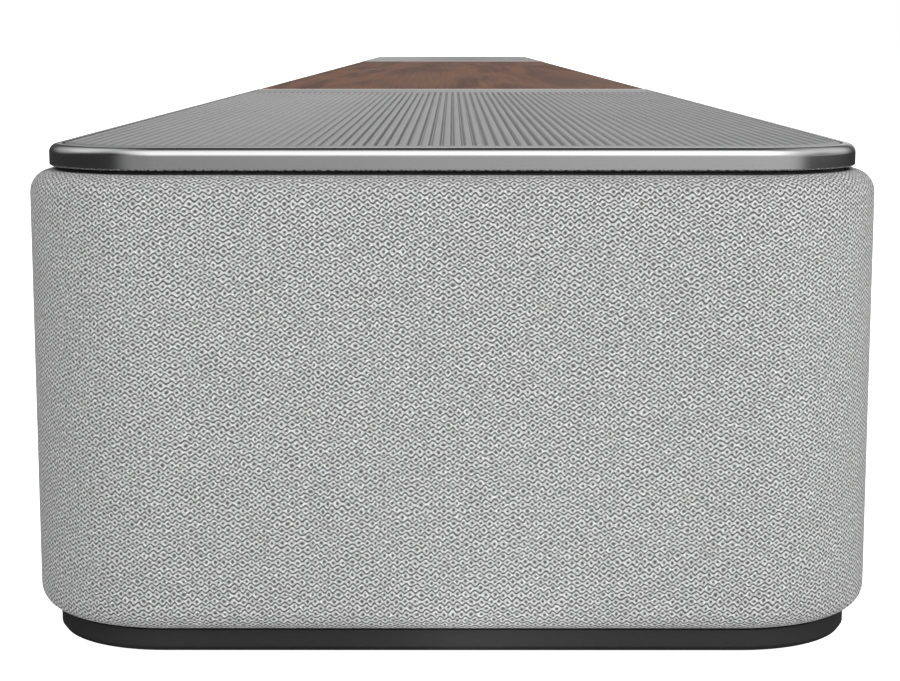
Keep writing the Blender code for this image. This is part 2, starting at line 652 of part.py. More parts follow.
def groove_cutter(side):
    """All the grooves of one grille, as prisms with sloping walls."""
    bm = bmesh.new()
    wall_slope = (GROOVE_TOP_WIDTH - GROOVE_FLOOR_WIDTH) / 2 / GROOVE_DEPTH
    wide = GROOVE_TOP_WIDTH / 2 + wall_slope * GROOVE_RISE
    narrow = GROOVE_FLOOR_WIDTH / 2
    count = groove_count()
    start = GRILLE_INNER_X + FIT_GAP + GROOVE_INNER_MARGIN
    for index in range(count):
        y = (index - (count - 1) / 2) * GROOVE_PITCH
        section = (
            (y - wide, TRIM_TOP + GROOVE_RISE), (y - narrow, TRIM_TOP - GROOVE_DEPTH),
            (y + narrow, TRIM_TOP - GROOVE_DEPTH), (y + wide, TRIM_TOP + GROOVE_RISE),
        )
        face = bm.faces.new([bm.verts.new((side * start, py, pz)) for py, pz in section])
        grown = bmesh.ops.extrude_face_region(bm, geom=[face])
        moved = [v for v in grown["geom"] if isinstance(v, bmesh.types.BMVert)]
        bmesh.ops.translate(bm, verts=moved, vec=(side * (groove_end(y) - start), 0, 0))
    return new_object(f"grooves_{side}", bm)


def build_grille(side, name):
    """Ribbed grille: a plate with a field of shallow grooves along it."""
    outline = end_outline(side, GRILLE_INNER_X + FIT_GAP, GRILLE_INSET)
    grille = new_object(name, extruded(outline, GRILLE_BOTTOM, TRIM_TOP), "satin_metal")
    cut(grille, groove_cutter(side))


def build_wood():
    """Veneered panel that lies across the middle, with a hole for each button."""
    bm = bmesh.new()
    bmesh.ops.create_cube(bm, size=1)
    half = WOOD_HALF_LENGTH - FIT_GAP
    bmesh.ops.scale(bm, verts=bm.verts, vec=(2 * half, 2 * WOOD_HALF_DEPTH, WOOD_THICKNESS))
    bmesh.ops.translate(bm, verts=bm.verts, vec=(0, 0, WOOD_BOTTOM + WOOD_THICKNESS / 2))
    long_edges = [
        e for e in bm.edges
        if all(v.co.z > WOOD_BOTTOM + WOOD_THICKNESS / 2 for v in e.verts)
        and abs(e.verts[0].co.y - e.verts[1].co.y) < 1e-6
    ]
    bmesh.ops.bevel(
        bm, geom=long_edges, offset=WOOD_EDGE_FILLET, segments=3, profile=0.5, affect="EDGES")
    panel = new_object("wood_panel", bm, "walnut", smooth=True)
    for number, x in enumerate(BUTTON_X):
        hole = cylinder(
            f"wood_button_hole_{number}", BUTTON_RADIUS + SLIDING_GAP,
            WOOD_BOTTOM - CUT, TRIM_TOP + CUT, BUTTON_SIDES)
        hole.location = (x, BUTTON_Y, 0)
        cut(panel, hole)


# ---------------------------------------------------------------- rear

def build_rear():
    """Rear cover with its socket bay, the plate that closes the bay, and two bracket inserts."""
    cover = skin_slab(
        "rear_cover", 0, FABRIC_BOTTOM, FABRIC_TOP,
        FABRIC_TOP_FILLET, FABRIC_BOTTOM_FILLET, "black_plastic")
    half = REAR_SEAM_X
    boolean(cover, box(
        "cover_span", (-half, REAR_Y - COVER_WALL, FABRIC_BOTTOM - CUT),
        (half, REAR_Y + CUT, FABRIC_TOP + CUT)), "INTERSECT")
    bay_half = BAY_HALF_LENGTH + BAY_WALL
    add(cover, box(
        "bay_walls",
        (-bay_half, IO_FACE_Y - IO_PLATE_THICKNESS, BAY_BOTTOM - BAY_WALL),
        (bay_half, REAR_Y - COVER_WALL / 2, BAY_TOP + BAY_WALL)))
    for side in (-1, 1):
        boss = cylinder(f"boss_{side}", BOSS_RADIUS, COVER_WALL / 2, BOSS_DEPTH, FOOT_SIDES)
        add(cover, aimed(boss, (side * INSERT_X, REAR_Y, INSERT_Z), (0, -1, 0)))
    cut(cover, box(
        "bay_hollow", (-BAY_HALF_LENGTH, IO_FACE_Y - IO_PLATE_THICKNESS - CUT, BAY_BOTTOM),
        (BAY_HALF_LENGTH, REAR_Y + CUT, BAY_TOP)))
    for side, side_name in ((-1, "left"), (1, "right")):
        bore = cylinder(
            f"insert_hole_{side}", INSERT_RADIUS + FIT_GAP, -CUT, INSERT_LENGTH + FIT_GAP, FOOT_SIDES)
        cut(cover, aimed(bore, (side * INSERT_X, REAR_Y, INSERT_Z), (0, -1, 0)))
        insert = new_object(f"bracket_insert_{side_name}", turned([
            (INSERT_BORE, 0), (INSERT_RADIUS, 0),
            (INSERT_RADIUS, INSERT_LENGTH), (INSERT_BORE, INSERT_LENGTH),
        ], FOOT_SIDES), "brass", smooth=True)
        aimed(insert, (side * INSERT_X, REAR_Y, INSERT_Z), (0, -1, 0))


# Sockets in the bay, from left to right as seen from behind the bar:
# name -> centre x, centre z, half width, half height of the body, depth behind the plate.
BAY_MIDDLE_Z = BAY_BOTTOM + BAY_HEIGHT / 2
SOCKETS = {
    "power_inlet": (-0.088, BAY_MIDDLE_Z, 0.0115, 0.0080, 0.0150),
    "hdmi_socket_1": (-0.046, BAY_MIDDLE_Z, 0.0085, 0.0037, 0.0120),
    "hdmi_socket_2": (-0.014, BAY_MIDDLE_Z, 0.0085, 0.0037, 0.0120),
    "optical_socket": (0.020, BAY_MIDDLE_Z, 0.0065, 0.0065, 0.0130),
    "usb_socket": (0.052, BAY_MIDDLE_Z, 0.0074, 0.0036, 0.0130),
    "subwoofer_socket": (0.086, BAY_MIDDLE_Z, 0.0060, 0.0060, 0.0120),
}


def socket_box(name, place, low, high, finish=None):
    """A box in a socket's own frame: x across, y out of the plate, z up."""
    x, z = place
    return box(
        name, (x + low[0], IO_FACE_Y + low[1], z + low[2]),
        (x + high[0], IO_FACE_Y + high[1], z + high[2]), finish)


def build_sockets():
    """Plate at the back of the bay and the sockets that come through it."""
    edge = FIT_GAP
    plate = box(
        "io_plate",
        (-BAY_HALF_LENGTH + edge, IO_FACE_Y - IO_PLATE_THICKNESS, BAY_BOTTOM + edge),
        (BAY_HALF_LENGTH - edge, IO_FACE_Y, BAY_TOP - edge), "black_plastic")
    for name, (x, z, half_width, half_height, depth) in SOCKETS.items():
        hole_w, hole_h = half_width + FIT_GAP, half_height + FIT_GAP
        cut(plate, socket_box(
            f"{name}_hole", (x, z), (-hole_w, -IO_PLATE_THICKNESS - CUT, -hole_h),
            (hole_w, CUT, hole_h)))
        finish = "steel" if name.startswith(("hdmi", "usb")) else "black_plastic"
        socket_box(
            name, (x, z), (-half_width, -depth, -half_height), (half_width, 0, half_height), finish)
    build_inlet()
    for name in ("hdmi_socket_1", "hdmi_socket_2", "usb_socket"):
        build_tongue_socket(name)
    build_optical()
    build_phono()


def build_inlet():
    """Two-pin mains inlet: a deep cavity with two round pins."""
    x, z, half_width, half_height, depth = SOCKETS["power_inlet"]
    wall, pin_spacing, pin_radius = 0.0022, 0.0086, 0.0012
    inlet = bpy.data.objects["power_inlet"]
    cut(inlet, socket_box(
        "inlet_cavity", (x, z), (-half_width + wall, -depth + wall, -half_height + wall),
        (half_width - wall, CUT, half_height - wall)))
    for side in (-1, 1):
        pin = cylinder(f"inlet_pin_{side}", pin_radius, -depth + wall / 2, -wall, 10)
        place = (x + side * pin_spacing / 2, IO_FACE_Y, z)
        add(inlet, aimed(pin, place, (0, 1, 0)))


def build_tongue_socket(name):
    """A flat metal socket with its contact tongue."""
    x, z, half_width, half_height, depth = SOCKETS[name]
    wall, tongue_half, setback = 0.0010, 0.0007, 0.0015
    tongue_width = half_width - 3 * wall
    socket = bpy.data.objects[name]
    cut(socket, socket_box(
        f"{name}_cavity", (x, z), (-half_width + wall, -depth + 2 * wall, -half_height + wall),
        (half_width - wall, CUT, half_height - wall)))
    add(socket, socket_box(
        f"{name}_tongue", (x, z), (-tongue_width, -depth + wall, -tongue_half),
        (tongue_width, -setback, tongue_half)))


def build_optical():
    """Square optical socket with a plain cavity."""
    x, z, half_width, half_height, depth = SOCKETS["optical_socket"]
    wall = 0.0022
    cut(bpy.data.objects["optical_socket"], socket_box(
        "optical_cavity", (x, z), (-half_width + wall, -depth + wall, -half_height + wall),
        (half_width - wall, CUT, half_height - wall)))


def build_phono():
    """Round phono jack on a square body."""
    x, z, _, _, _ = SOCKETS["subwoofer_socket"]
    barrel_radius, bore_radius, barrel_length = 0.0041, 0.0016, 0.0090
    jack = bpy.data.objects["subwoofer_socket"]
    barrel = cylinder("phono_barrel", barrel_radius, -barrel_radius, barrel_length, 16)
    bore = cylinder("phono_bore", bore_radius, 0, barrel_length + CUT, 12)
    add(jack, aimed(barrel, (x, IO_FACE_Y, z), (0, 1, 0)))
    cut(jack, aimed(bore, (x, IO_FACE_Y, z), (0, 1, 0)))


# ---------------------------------------------------------------- drivers

def basket_profile(radius, opening, flange, depth):
    """Basket, magnet and pole of a driver: front face at 0, magnet behind it at -depth."""
    body = (radius + opening) / 2
    straight = 2 * flange
    magnet = MAGNET_SHARE * radius
    magnet_front = -MAGNET_START * depth
    coil = coil_radius(radius)
    gap_floor = -COIL_GAP_END * depth
    gap_outer = coil + COIL_CLEARANCE
    gap_inner = coil - COIL_WALL - COIL_CLEARANCE
    return [
        (0, -depth), (magnet, -depth), (magnet, magnet_front), (body, -flange),
        (radius, -flange), (radius, 0), (opening, 0), (opening, -straight),
        (gap_outer, magnet_front + flange), (gap_outer, gap_floor), (gap_inner, gap_floor),
        (gap_inner, magnet_front + flange), (0, magnet_front + flange),
    ]


def coil_radius(radius):
    """Outer radius of a driver's voice coil."""
    return COIL_SHARE * radius


def cone_profile(radius, opening, depth):
    """Cone with its roll surround, dust cap and voice coil, all moving together."""
    edge = opening - SLIDING_GAP
    roll = SURROUND_SHARE * radius
    rim = edge - roll
    coil = coil_radius(radius)
    bore = coil - COIL_WALL
    neck = -CONE_DEPTH_SHARE * depth
    coil_end = -COIL_END * depth
    return [
        (0, neck + DUST_CAP_RISE), (coil, neck + CONE_WALL), (rim, -CONE_WALL),
        (rim + roll / 2, SURROUND_RISE), (edge, -CONE_WALL), (edge, -2 * CONE_WALL),
        (rim, -3 * CONE_WALL), (coil, neck - CONE_WALL), (coil, coil_end), (bore, coil_end),
        (bore, neck), (0, neck + DUST_CAP_RISE - 2 * CONE_WALL),
    ]


def build_driver(name, position, direction, large=False):
    """One driver: its basket, and the cone that slides in it along the driver's axis."""
    if large:
        size = (WOOFER_RADIUS, WOOFER_OPENING, WOOFER_FLANGE, WOOFER_DEPTH)
        sides = WOOFER_SIDES
    else:
        size = (SMALL_RADIUS, SMALL_OPENING, SMALL_FLANGE, SMALL_DEPTH)
        sides = SMALL_SIDES
    radius, opening, flange, depth = size
    basket = new_object(
        f"{name}_basket", turned(basket_profile(radius, opening, flange, depth), sides),
        "steel", smooth=True)
    cone = new_object(
        f"{name}_cone", turned(cone_profile(radius, opening, depth), sides),
        "paper_cone", smooth=True)
    for piece in (basket, cone):
        aimed(piece, position, direction)


def build_drivers():
    seat_z = DECK_BOTTOM - FIT_GAP
    for side, side_name in ((-1, "left"), (1, "right")):
        for x, place in zip(WOOFER_X, ("inner", "outer")):
            build_driver(
                f"woofer_{side_name}_{place}", (side * x, 0, seat_z), (0, 0, 1), large=True)
        facing = (0, -math.sin(UPFIRING_TILT), math.cos(UPFIRING_TILT))
        build_driver(f"upfiring_{side_name}", (side * UPFIRING_X, 0, UPFIRING_Z), facing)
        end_seat = CABINET_HALF_LENGTH - CABINET_WALL - FIT_GAP
        build_driver(f"side_{side_name}", (side * end_seat, 0, DRIVER_Z), (side, 0, 0))
    names = ("front_left", "centre_left", "centre_right", "front_right")
    for x, name in zip(FRONT_DRIVER_X, names):
        build_driver(name, (x, FRONT_SEAT_Y, DRIVER_Z), (0, -1, 0))
    tweeter = new_object("horn_tweeter", turned([
        (0, -TWEETER_DEPTH), (TWEETER_BODY, -TWEETER_DEPTH),
        (TWEETER_BODY, -TWEETER_SHOULDER), (TWEETER_RADIUS, -SMALL_FLANGE),
        (TWEETER_RADIUS, 0), (TWEETER_MOUTH, 0), (HORN_THROAT + HORN_WAIST, -HORN_WAIST_DEPTH),
        (HORN_THROAT, -HORN_THROAT_DEPTH), (DOME_RADIUS, -DOME_TOP - DOME_RISE), (0, -DOME_TOP),
    ], SMALL_SIDES), "black_plastic", smooth=True)
    aimed(tweeter, (0, FRONT_SEAT_Y, DRIVER_Z), (0, -1, 0))


# ---------------------------------------------------------------- electronics and buttons

def board(name, low, high, parts):
    """A circuit board with its taller components joined on top: (x, y, half x, half y, height)."""
    made = box(name, low, high, "circuit_board")
    for number, (x, y, half_x, half_y, height) in enumerate(parts):
        add(made, box(
            f"{name}_part_{number}", (x - half_x, y - half_y, high[2] - BOARD_THICKNESS / 2),
            (x + half_x, y + half_y, high[2] + height)))
    return made


def build_electronics():
    top = BOARD_Z + BOARD_THICKNESS
    for name, (low_x, low_y, high_x, high_y) in BOARDS.items():
        board(
            name, (low_x, low_y, BOARD_Z), (high_x, high_y, top),
            [(low_x + x, low_y + y, half_x, half_y, height)
             for x, y, half_x, half_y, height in COMPONENTS[name]])
    build_heat_sink(top)
    box("display_module", (DISPLAY_X[0], FRONT_SEAT_Y, DISPLAY_Z[0]),
        (DISPLAY_X[1], FRONT_SEAT_Y + DISPLAY_THICKNESS, DISPLAY_Z[1]), "black_plastic")
    antenna_top = DECK_BOTTOM - FIT_GAP
    box("wifi_antenna", (ANTENNA_X[0], ANTENNA_Y[0], antenna_top - BOARD_THICKNESS),
        (ANTENNA_X[1], ANTENNA_Y[1], antenna_top), "circuit_board")
    build_buttons()


def build_heat_sink(board_top):
    """Comb of fins over the amplifier chips, above the main board."""
    half_x, (low_y, high_y) = SINK_HALF_LENGTH, SINK_Y
    plate_top = board_top + FIT_GAP + SINK_PLATE
    sink = box(
        "heat_sink", (-half_x, low_y, board_top + FIT_GAP),
        (half_x, high_y, plate_top + SINK_FIN_HEIGHT), "heat_sink_metal")
    pitch = (2 * half_x - SINK_FIN) / (SINK_FINS - 1)
    for gap in range(SINK_FINS - 1):
        start = -half_x + SINK_FIN + gap * pitch
        cut(sink, box(
            f"fin_gap_{gap}", (start, low_y - CUT, plate_top),
            (start + pitch - SINK_FIN, high_y + CUT, plate_top + SINK_FIN_HEIGHT + CUT)))


def build_buttons():
    """Four push buttons and the board with their switches."""
    crown = TRIM_TOP
    flange_top = WOOD_BOTTOM - FIT_GAP
    flange_bottom = flange_top - BUTTON_FLANGE_THICKNESS
    stem_end = SWITCH_TOP + BUTTON_TRAVEL + FIT_GAP
    for x, name in zip(BUTTON_X, ("power", "source", "volume_down", "volume_up")):
        button = new_object(f"{name}_button", turned([
            (0, stem_end), (BUTTON_STEM_RADIUS, stem_end), (BUTTON_STEM_RADIUS, flange_bottom),
            (BUTTON_FLANGE_RADIUS, flange_bottom), (BUTTON_FLANGE_RADIUS, flange_top),
            (BUTTON_RADIUS, flange_top), (BUTTON_RADIUS, crown), (0, crown),
        ], BUTTON_SIDES), "satin_metal", smooth=True)
        button.location = (x, BUTTON_Y, 0)
    board_top = SWITCH_TOP - SWITCH_HEIGHT
    half_x, half_y = BUTTON_X[-1] + BUTTON_BOARD_MARGIN, BUTTON_BOARD_HALF_DEPTH
    board(
        "button_board", (-half_x, BUTTON_Y - half_y, board_top - BOARD_THICKNESS),
        (half_x, BUTTON_Y + half_y, board_top),
        [(x, BUTTON_Y, SWITCH_HALF, SWITCH_HALF, SWITCH_HEIGHT) for x in BUTTON_X])


def main():
    for obj in list(bpy.data.objects):
        bpy.data.objects.remove(obj)
    build_base()
    build_cabinet()
    build_baffle()
    build_deck()
    build_frame()
    build_fabric()
    build_rear()
    build_sockets()
    build_trim()
    build_grille(-1, "top_grille_left")
    build_grille(1, "top_grille_right")
    build_wood()
    build_drivers()
    build_electronics()


main()
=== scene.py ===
"""A long soundbar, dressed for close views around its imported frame.

Every piece is made in metres in the frame's own axes: X runs along the bar, the front faces
-Y and +Z is up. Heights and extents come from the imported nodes, and the radii, wall
thicknesses and pitches that a box can't give are fields of the classes below.
"""

import logging
import math
from dataclasses import dataclass
from enum import Enum
from functools import partial
from typing import Any, Callable, Iterable, Sequence

import bmesh
import bpy
from mathutils import Matrix, Vector


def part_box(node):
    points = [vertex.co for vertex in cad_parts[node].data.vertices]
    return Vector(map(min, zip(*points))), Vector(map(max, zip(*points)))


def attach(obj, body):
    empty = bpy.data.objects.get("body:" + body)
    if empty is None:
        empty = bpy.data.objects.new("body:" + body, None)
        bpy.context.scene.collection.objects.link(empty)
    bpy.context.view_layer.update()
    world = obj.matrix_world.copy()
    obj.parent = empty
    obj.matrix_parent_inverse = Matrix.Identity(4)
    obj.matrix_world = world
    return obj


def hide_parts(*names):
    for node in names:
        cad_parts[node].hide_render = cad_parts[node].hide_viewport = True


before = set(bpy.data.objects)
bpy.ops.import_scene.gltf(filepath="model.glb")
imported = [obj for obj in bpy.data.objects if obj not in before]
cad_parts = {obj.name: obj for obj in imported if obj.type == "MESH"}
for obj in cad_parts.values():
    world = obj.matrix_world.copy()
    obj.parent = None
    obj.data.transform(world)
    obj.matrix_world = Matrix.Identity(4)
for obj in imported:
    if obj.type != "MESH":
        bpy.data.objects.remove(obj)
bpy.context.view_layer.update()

LOG = logging.getLogger("soundbar")
MM = 0.001
ROOT_BODY = "soundbar"
FIT_GAP = 0.3 * MM
SHARP_ANGLE = math.radians(35)

Tree = bpy.types.NodeTree
Node = bpy.types.Node
Object = bpy.types.Object
Profile = Sequence[tuple[float, float]]


# ------------------------------------------------------------------ small tools


def linear(colour: str) -> tuple[float, float, float, float]:
    """Turns an sRGB hex colour to the linear values that a shader takes.

    Args:
        colour: six hex digits.

    Returns:
        Linear red, green and blue, with an alpha of 1.
    """
    channels = [int(colour[start:start + 2], 16) / 255 for start in (0, 2, 4)]
    red, green, blue = [
        c / 12.92 if c <= 0.04045 else ((c + 0.055) / 1.055) ** 2.4 for c in channels]
    return (red, green, blue, 1.0)


def feed(tree: Tree, node: Node, inputs: dict[Any, Any]) -> Node:
    """Sets a node's inputs: to a value, an output, or another node, for its first output."""
    for key, value in inputs.items():
        if isinstance(value, bpy.types.Node):
            value = value.outputs[0]
        if isinstance(value, bpy.types.NodeSocket):
            tree.links.new(value, node.inputs[key])
        else:
            node.inputs[key].default_value = value
    return node


def add_node(tree: Tree, kind: str, inputs: dict[Any, Any] | None = None, **settings: Any) -> Node:
    """Adds a node with its settings, input values and links.

    Args:
        tree: the shader or geometry tree it goes in.
        kind: Blender's name of the node type.
        inputs: what feeds each input, by the input's name or number.
        settings: the node's own properties.

    Returns:
        The new node.
    """
    made = tree.nodes.new(kind)
    for name, value in settings.items():
        setattr(made, name, value)
    return feed(tree, made, inputs or {})


def add_steps(tree: Tree, kind: str, known: dict[str, Any], steps: Sequence[tuple]) -> None:
    """Adds nodes of one type in order, each fed by name from the ones before it.

    Args:
        tree: the shader or geometry tree they go in.
        kind: Blender's name of the node type.
        known: nodes and outputs by name, to which each step adds its node.
        steps: each step's name, operation and inputs, which are names or numbers.
    """
    for name, operation, *inputs in steps:
        known[name] = add_node(
            tree, kind, {slot: known.get(value, value) for slot, value in enumerate(inputs)},
            operation=operation)


def add_object(name: str, mesh: bpy.types.Mesh) -> Object:
    """Puts a mesh in the scene as an object at the origin."""
    made = bpy.data.objects.new(name, mesh)
    bpy.context.scene.collection.objects.link(made)
    return made


def object_from(name: str, bm: bmesh.types.BMesh, outward: bool = True) -> Object:
    """Turns a bmesh into an object, merged, smooth and with sharp creases kept.

    Args:
        name: the object's name.
        bm: the mesh, which is freed.
        outward: whether to recalculate the normals, for a closed body.

    Returns:
        The new object.
    """
    bmesh.ops.remove_doubles(bm, verts=bm.verts, dist=1e-7)
    if outward:
        bmesh.ops.recalc_face_normals(bm, faces=bm.faces)
    mesh = bpy.data.meshes.new(name)
    bm.to_mesh(mesh)
    bm.free()
    mesh.shade_smooth()
    mesh.set_sharp_from_angle(angle=SHARP_ANGLE)
    return add_object(name, mesh)


def settle(obj: Object) -> Object:
    """Bakes an object's modifiers and place into its mesh, and leaves it at the origin."""
    graph = bpy.context.evaluated_depsgraph_get()
    mesh = bpy.data.meshes.new_from_object(
        obj.evaluated_get(graph), preserve_all_data_layers=True, depsgraph=graph)
    mesh.transform(obj.matrix_basis)
    obj.modifiers.clear()
    obj.data = mesh
    obj.matrix_basis = Matrix.Identity(4)
    return obj


def carve(target: Object, cutters: Iterable[Object], operation: str = "DIFFERENCE") -> Object:
    """Applies exact Booleans to a piece and removes the cutters.

    Args:
        target: the piece.
        cutters: closed bodies.
        operation: DIFFERENCE, UNION or INTERSECT.

    Returns:
        The piece, with a plain mesh.
    """
    cutters = list(cutters)
    for cutter in cutters:
        modifier = target.modifiers.new("cut", "BOOLEAN")
        modifier.operation = operation
        modifier.object = cutter
        modifier.solver = "EXACT"
    settle(target)
    for cutter in cutters:
        bpy.data.objects.remove(cutter)
    target.data.shade_smooth()
    target.data.set_sharp_from_angle(angle=SHARP_ANGLE)
    return target


def weight_normals(obj: Object) -> Object:
    """Makes flat faces shade flat beside their rounded edges."""
    modifier = obj.modifiers.new("weighted", "WEIGHTED_NORMAL")
    modifier.keep_sharp = True
    modifier.weight = 100
    return settle(obj)


def rounded_outline(half_length: float, half_depth: float, radius: float,
                    segments: int = 24) -> list[Vector]:
    """Corner points of a rounded rectangle, anticlockwise from the +X side."""
    points = []
    for side_x, side_y, start in ((1, 1, 0), (-1, 1, 90), (-1, -1, 180), (1, -1, 270)):
        centre = Vector((side_x * (half_length - radius), side_y * (half_depth - radius)))
        for step in range(segments + 1):
            angle = math.radians(start + 90 * step / segments)
            points.append(centre + radius * Vector((math.cos(angle), math.sin(angle))))
    return points


def lofted(rings: Sequence[Sequence[Vector]]) -> bmesh.types.BMesh:
    """A closed body through rings of the same number of points, capped at both ends."""
    bm = bmesh.new()
    rows = [[bm.verts.new(p) for p in ring] for ring in rings]
    for low, high in zip(rows, rows[1:]):
        for index in range(len(low)):
            after = (index + 1) % len(low)
            bm.faces.new((low[index], low[after], high[after], high[index]))
    bm.faces.new(rows[0][::-1])
    bm.faces.new(rows[-1])
    return bm


def stacked(name: str, levels: Profile, plan: Callable[[float], Sequence[Vector]]) -> Object:
    """A closed body with straight sides from level to level.

    Args:
        name: the object's name.
        levels: (inset, height) of each level, from the bottom up.
        plan: makes the outline for an inset.

    Returns:
        The body.
    """
    return object_from(name, lofted(
        [[Vector((p.x, p.y, z)) for p in plan(inset)] for inset, z in levels]))


def block(name: str, low: Sequence[float], high: Sequence[float], bevel: float = 0.0,
          segments: int = 2) -> Object:
    """A box between two corners, with its edges rounded where a bevel is given."""
    bm = bmesh.new()
    bmesh.ops.create_cube(bm, size=1)
    low, high = Vector(low), Vector(high)
    bmesh.ops.scale(bm, verts=bm.verts, vec=high - low)
    bmesh.ops.translate(bm, verts=bm.verts, vec=(low + high) / 2)
    if bevel:
        bmesh.ops.bevel(
            bm, geom=list(bm.edges), offset=bevel, segments=segments, profile=0.5,
            affect="EDGES")
    return object_from(name, bm)


def lathe(name: str, profile: Profile, sides: int, place: Sequence[float] = (0, 0, 0),
          direction: Sequence[float] = (0, 0, 1)) -> Object:
    """Turns (radius, height) points about an axis, to a closed body in its place.

    Args:
        name: the object's name.
        profile: points from axis to axis, or a closed ring that never meets the axis.
        sides: facets round the axis.
        place: where the profile's height 0 lies.
        direction: the axis, towards growing heights.

    Returns:
        The body, with its place in its mesh.
    """
    bm = bmesh.new()
    on_axis = [radius < 1e-9 for radius, _ in profile]
    rows = []
    for (radius, height), single in zip(profile, on_axis):
        if single:
            rows.append([bm.verts.new((0, 0, height))] * sides)
            continue
        rows.append([
            bm.verts.new((
                radius * math.cos(2 * math.pi * step / sides),
                radius * math.sin(2 * math.pi * step / sides), height))
            for step in range(sides)])
    if not any(on_axis):
        rows.append(rows[0])
    for low, high in zip(rows, rows[1:]):
        for step in range(sides):
            after = (step + 1) % sides
            corners = [low[step], low[after], high[after], high[step]]
            bm.faces.new(list(dict.fromkeys(corners)))
    turn = Vector(direction).to_track_quat("Z", "Y").to_matrix().to_4x4()
    bmesh.ops.transform(bm, matrix=Matrix.Translation(Vector(place)) @ turn, verts=bm.verts)
    return object_from(name, bm)


def rod(name: str, middle: Vector, radius: float, low: float, high: float,
        sides: int) -> Object:
    """An upright round bar at a place in plan, between two heights."""
    profile = [(0, low), (radius, low), (radius, high), (0, high)]
    return lathe(name, profile, sides, (middle.x, middle.y, 0))


def arc(centre: tuple[float, float], radius: float, start: float, end: float,
        steps: int) -> list[tuple[float, float]]:
    """Points along an arc in a profile plane, between two angles in degrees."""
    angles = [math.radians(start + (end - start) * step / steps) for step in range(steps + 1)]
    return [(centre[0] + radius * math.cos(a), centre[1] + radius * math.sin(a)) for a in angles]


def joined(name: str, parts: Sequence[Object]) -> Object:
    """Joins separate closed bodies into one piece."""
    bm = bmesh.new()
    for part in parts:
        bm.from_mesh(part.data)
        bpy.data.objects.remove(part)
    return object_from(name, bm, outward=False)


# ------------------------------------------------------------------ finishes


@dataclass(frozen=True)
class Finish:
    """A surface: what the real one is made of and how, and the record's slot it stands for."""

    name: str
    slot: str

    def dress(self, tree: Tree, shader: Node) -> None:
        """Adds the finish's own nodes to a Principled shader."""
        raise NotImplementedError

    def material(self) -> bpy.types.Material:
        """The finish as a material, made once."""
        made = bpy.data.materials.get(self.name)
        if made:
            return made
        made = bpy.data.materials.new(self.name)
        made.use_nodes = True
        tree = made.node_tree
        self.dress(tree, tree.nodes["Principled BSDF"])
        return made


@dataclass(frozen=True)
class GrainedFinish(Finish):
    """A surface whose colour, gloss and relief all vary with one or two grains.

    The fine grain is the moulding texture, bead blasting or brushing. The broad one is the
    slow drift in tone and gloss that handling and polishing leave.
    """

    dark: str
    light: str
    grain: float = 0.3 * MM
    stretch: tuple[float, float, float] = (1, 1, 1)
    relief: float = 0.02 * MM
    roughness: tuple[float, float] = (0.45, 0.6)
    drift: float = 40 * MM
    metallic: float = 0.0
    ior: float = 1.5
    coat: float = 0.0

    def dress(self, tree: Tree, shader: Node) -> None:
        """Links the grains to colour, roughness and bump."""
        new = partial(add_node, tree)
        place = new("ShaderNodeTexCoord").outputs["Object"]
        drawn = new("ShaderNodeMapping", {"Vector": place, "Scale": self.stretch})
        fine = new(
            "ShaderNodeTexNoise",
            {"Vector": drawn, "Scale": 1 / self.grain, "Detail": 3.0, "Roughness": 0.6})
        broad = new(
            "ShaderNodeTexNoise", {"Vector": place, "Scale": 1 / self.drift, "Detail": 2.0})
        both = new("ShaderNodeMath", {0: fine, 1: broad}, operation="ADD")
        share = new("ShaderNodeMapRange", {"Value": both, "From Min": 0.7, "From Max": 1.3})
        colour = new(
            "ShaderNodeMix", {0: share, 6: linear(self.dark), 7: linear(self.light)},
            data_type="RGBA").outputs[2]
        gloss = new(
            "ShaderNodeMapRange",
            {"Value": both, "From Min": 0.7, "From Max": 1.3, "To Min": self.roughness[0],
             "To Max": self.roughness[1]})
        bump = new("ShaderNodeBump", {"Height": fine, "Distance": self.relief})
        feed(tree, shader, {
            "Base Color": colour, "Roughness": gloss, "Normal": bump,
            "Metallic": self.metallic})
        if not self.metallic:
            feed(tree, shader, {"IOR": self.ior})
        if self.coat:
            feed(tree, shader, {"Coat Weight": self.coat, "Coat Roughness": 0.15})


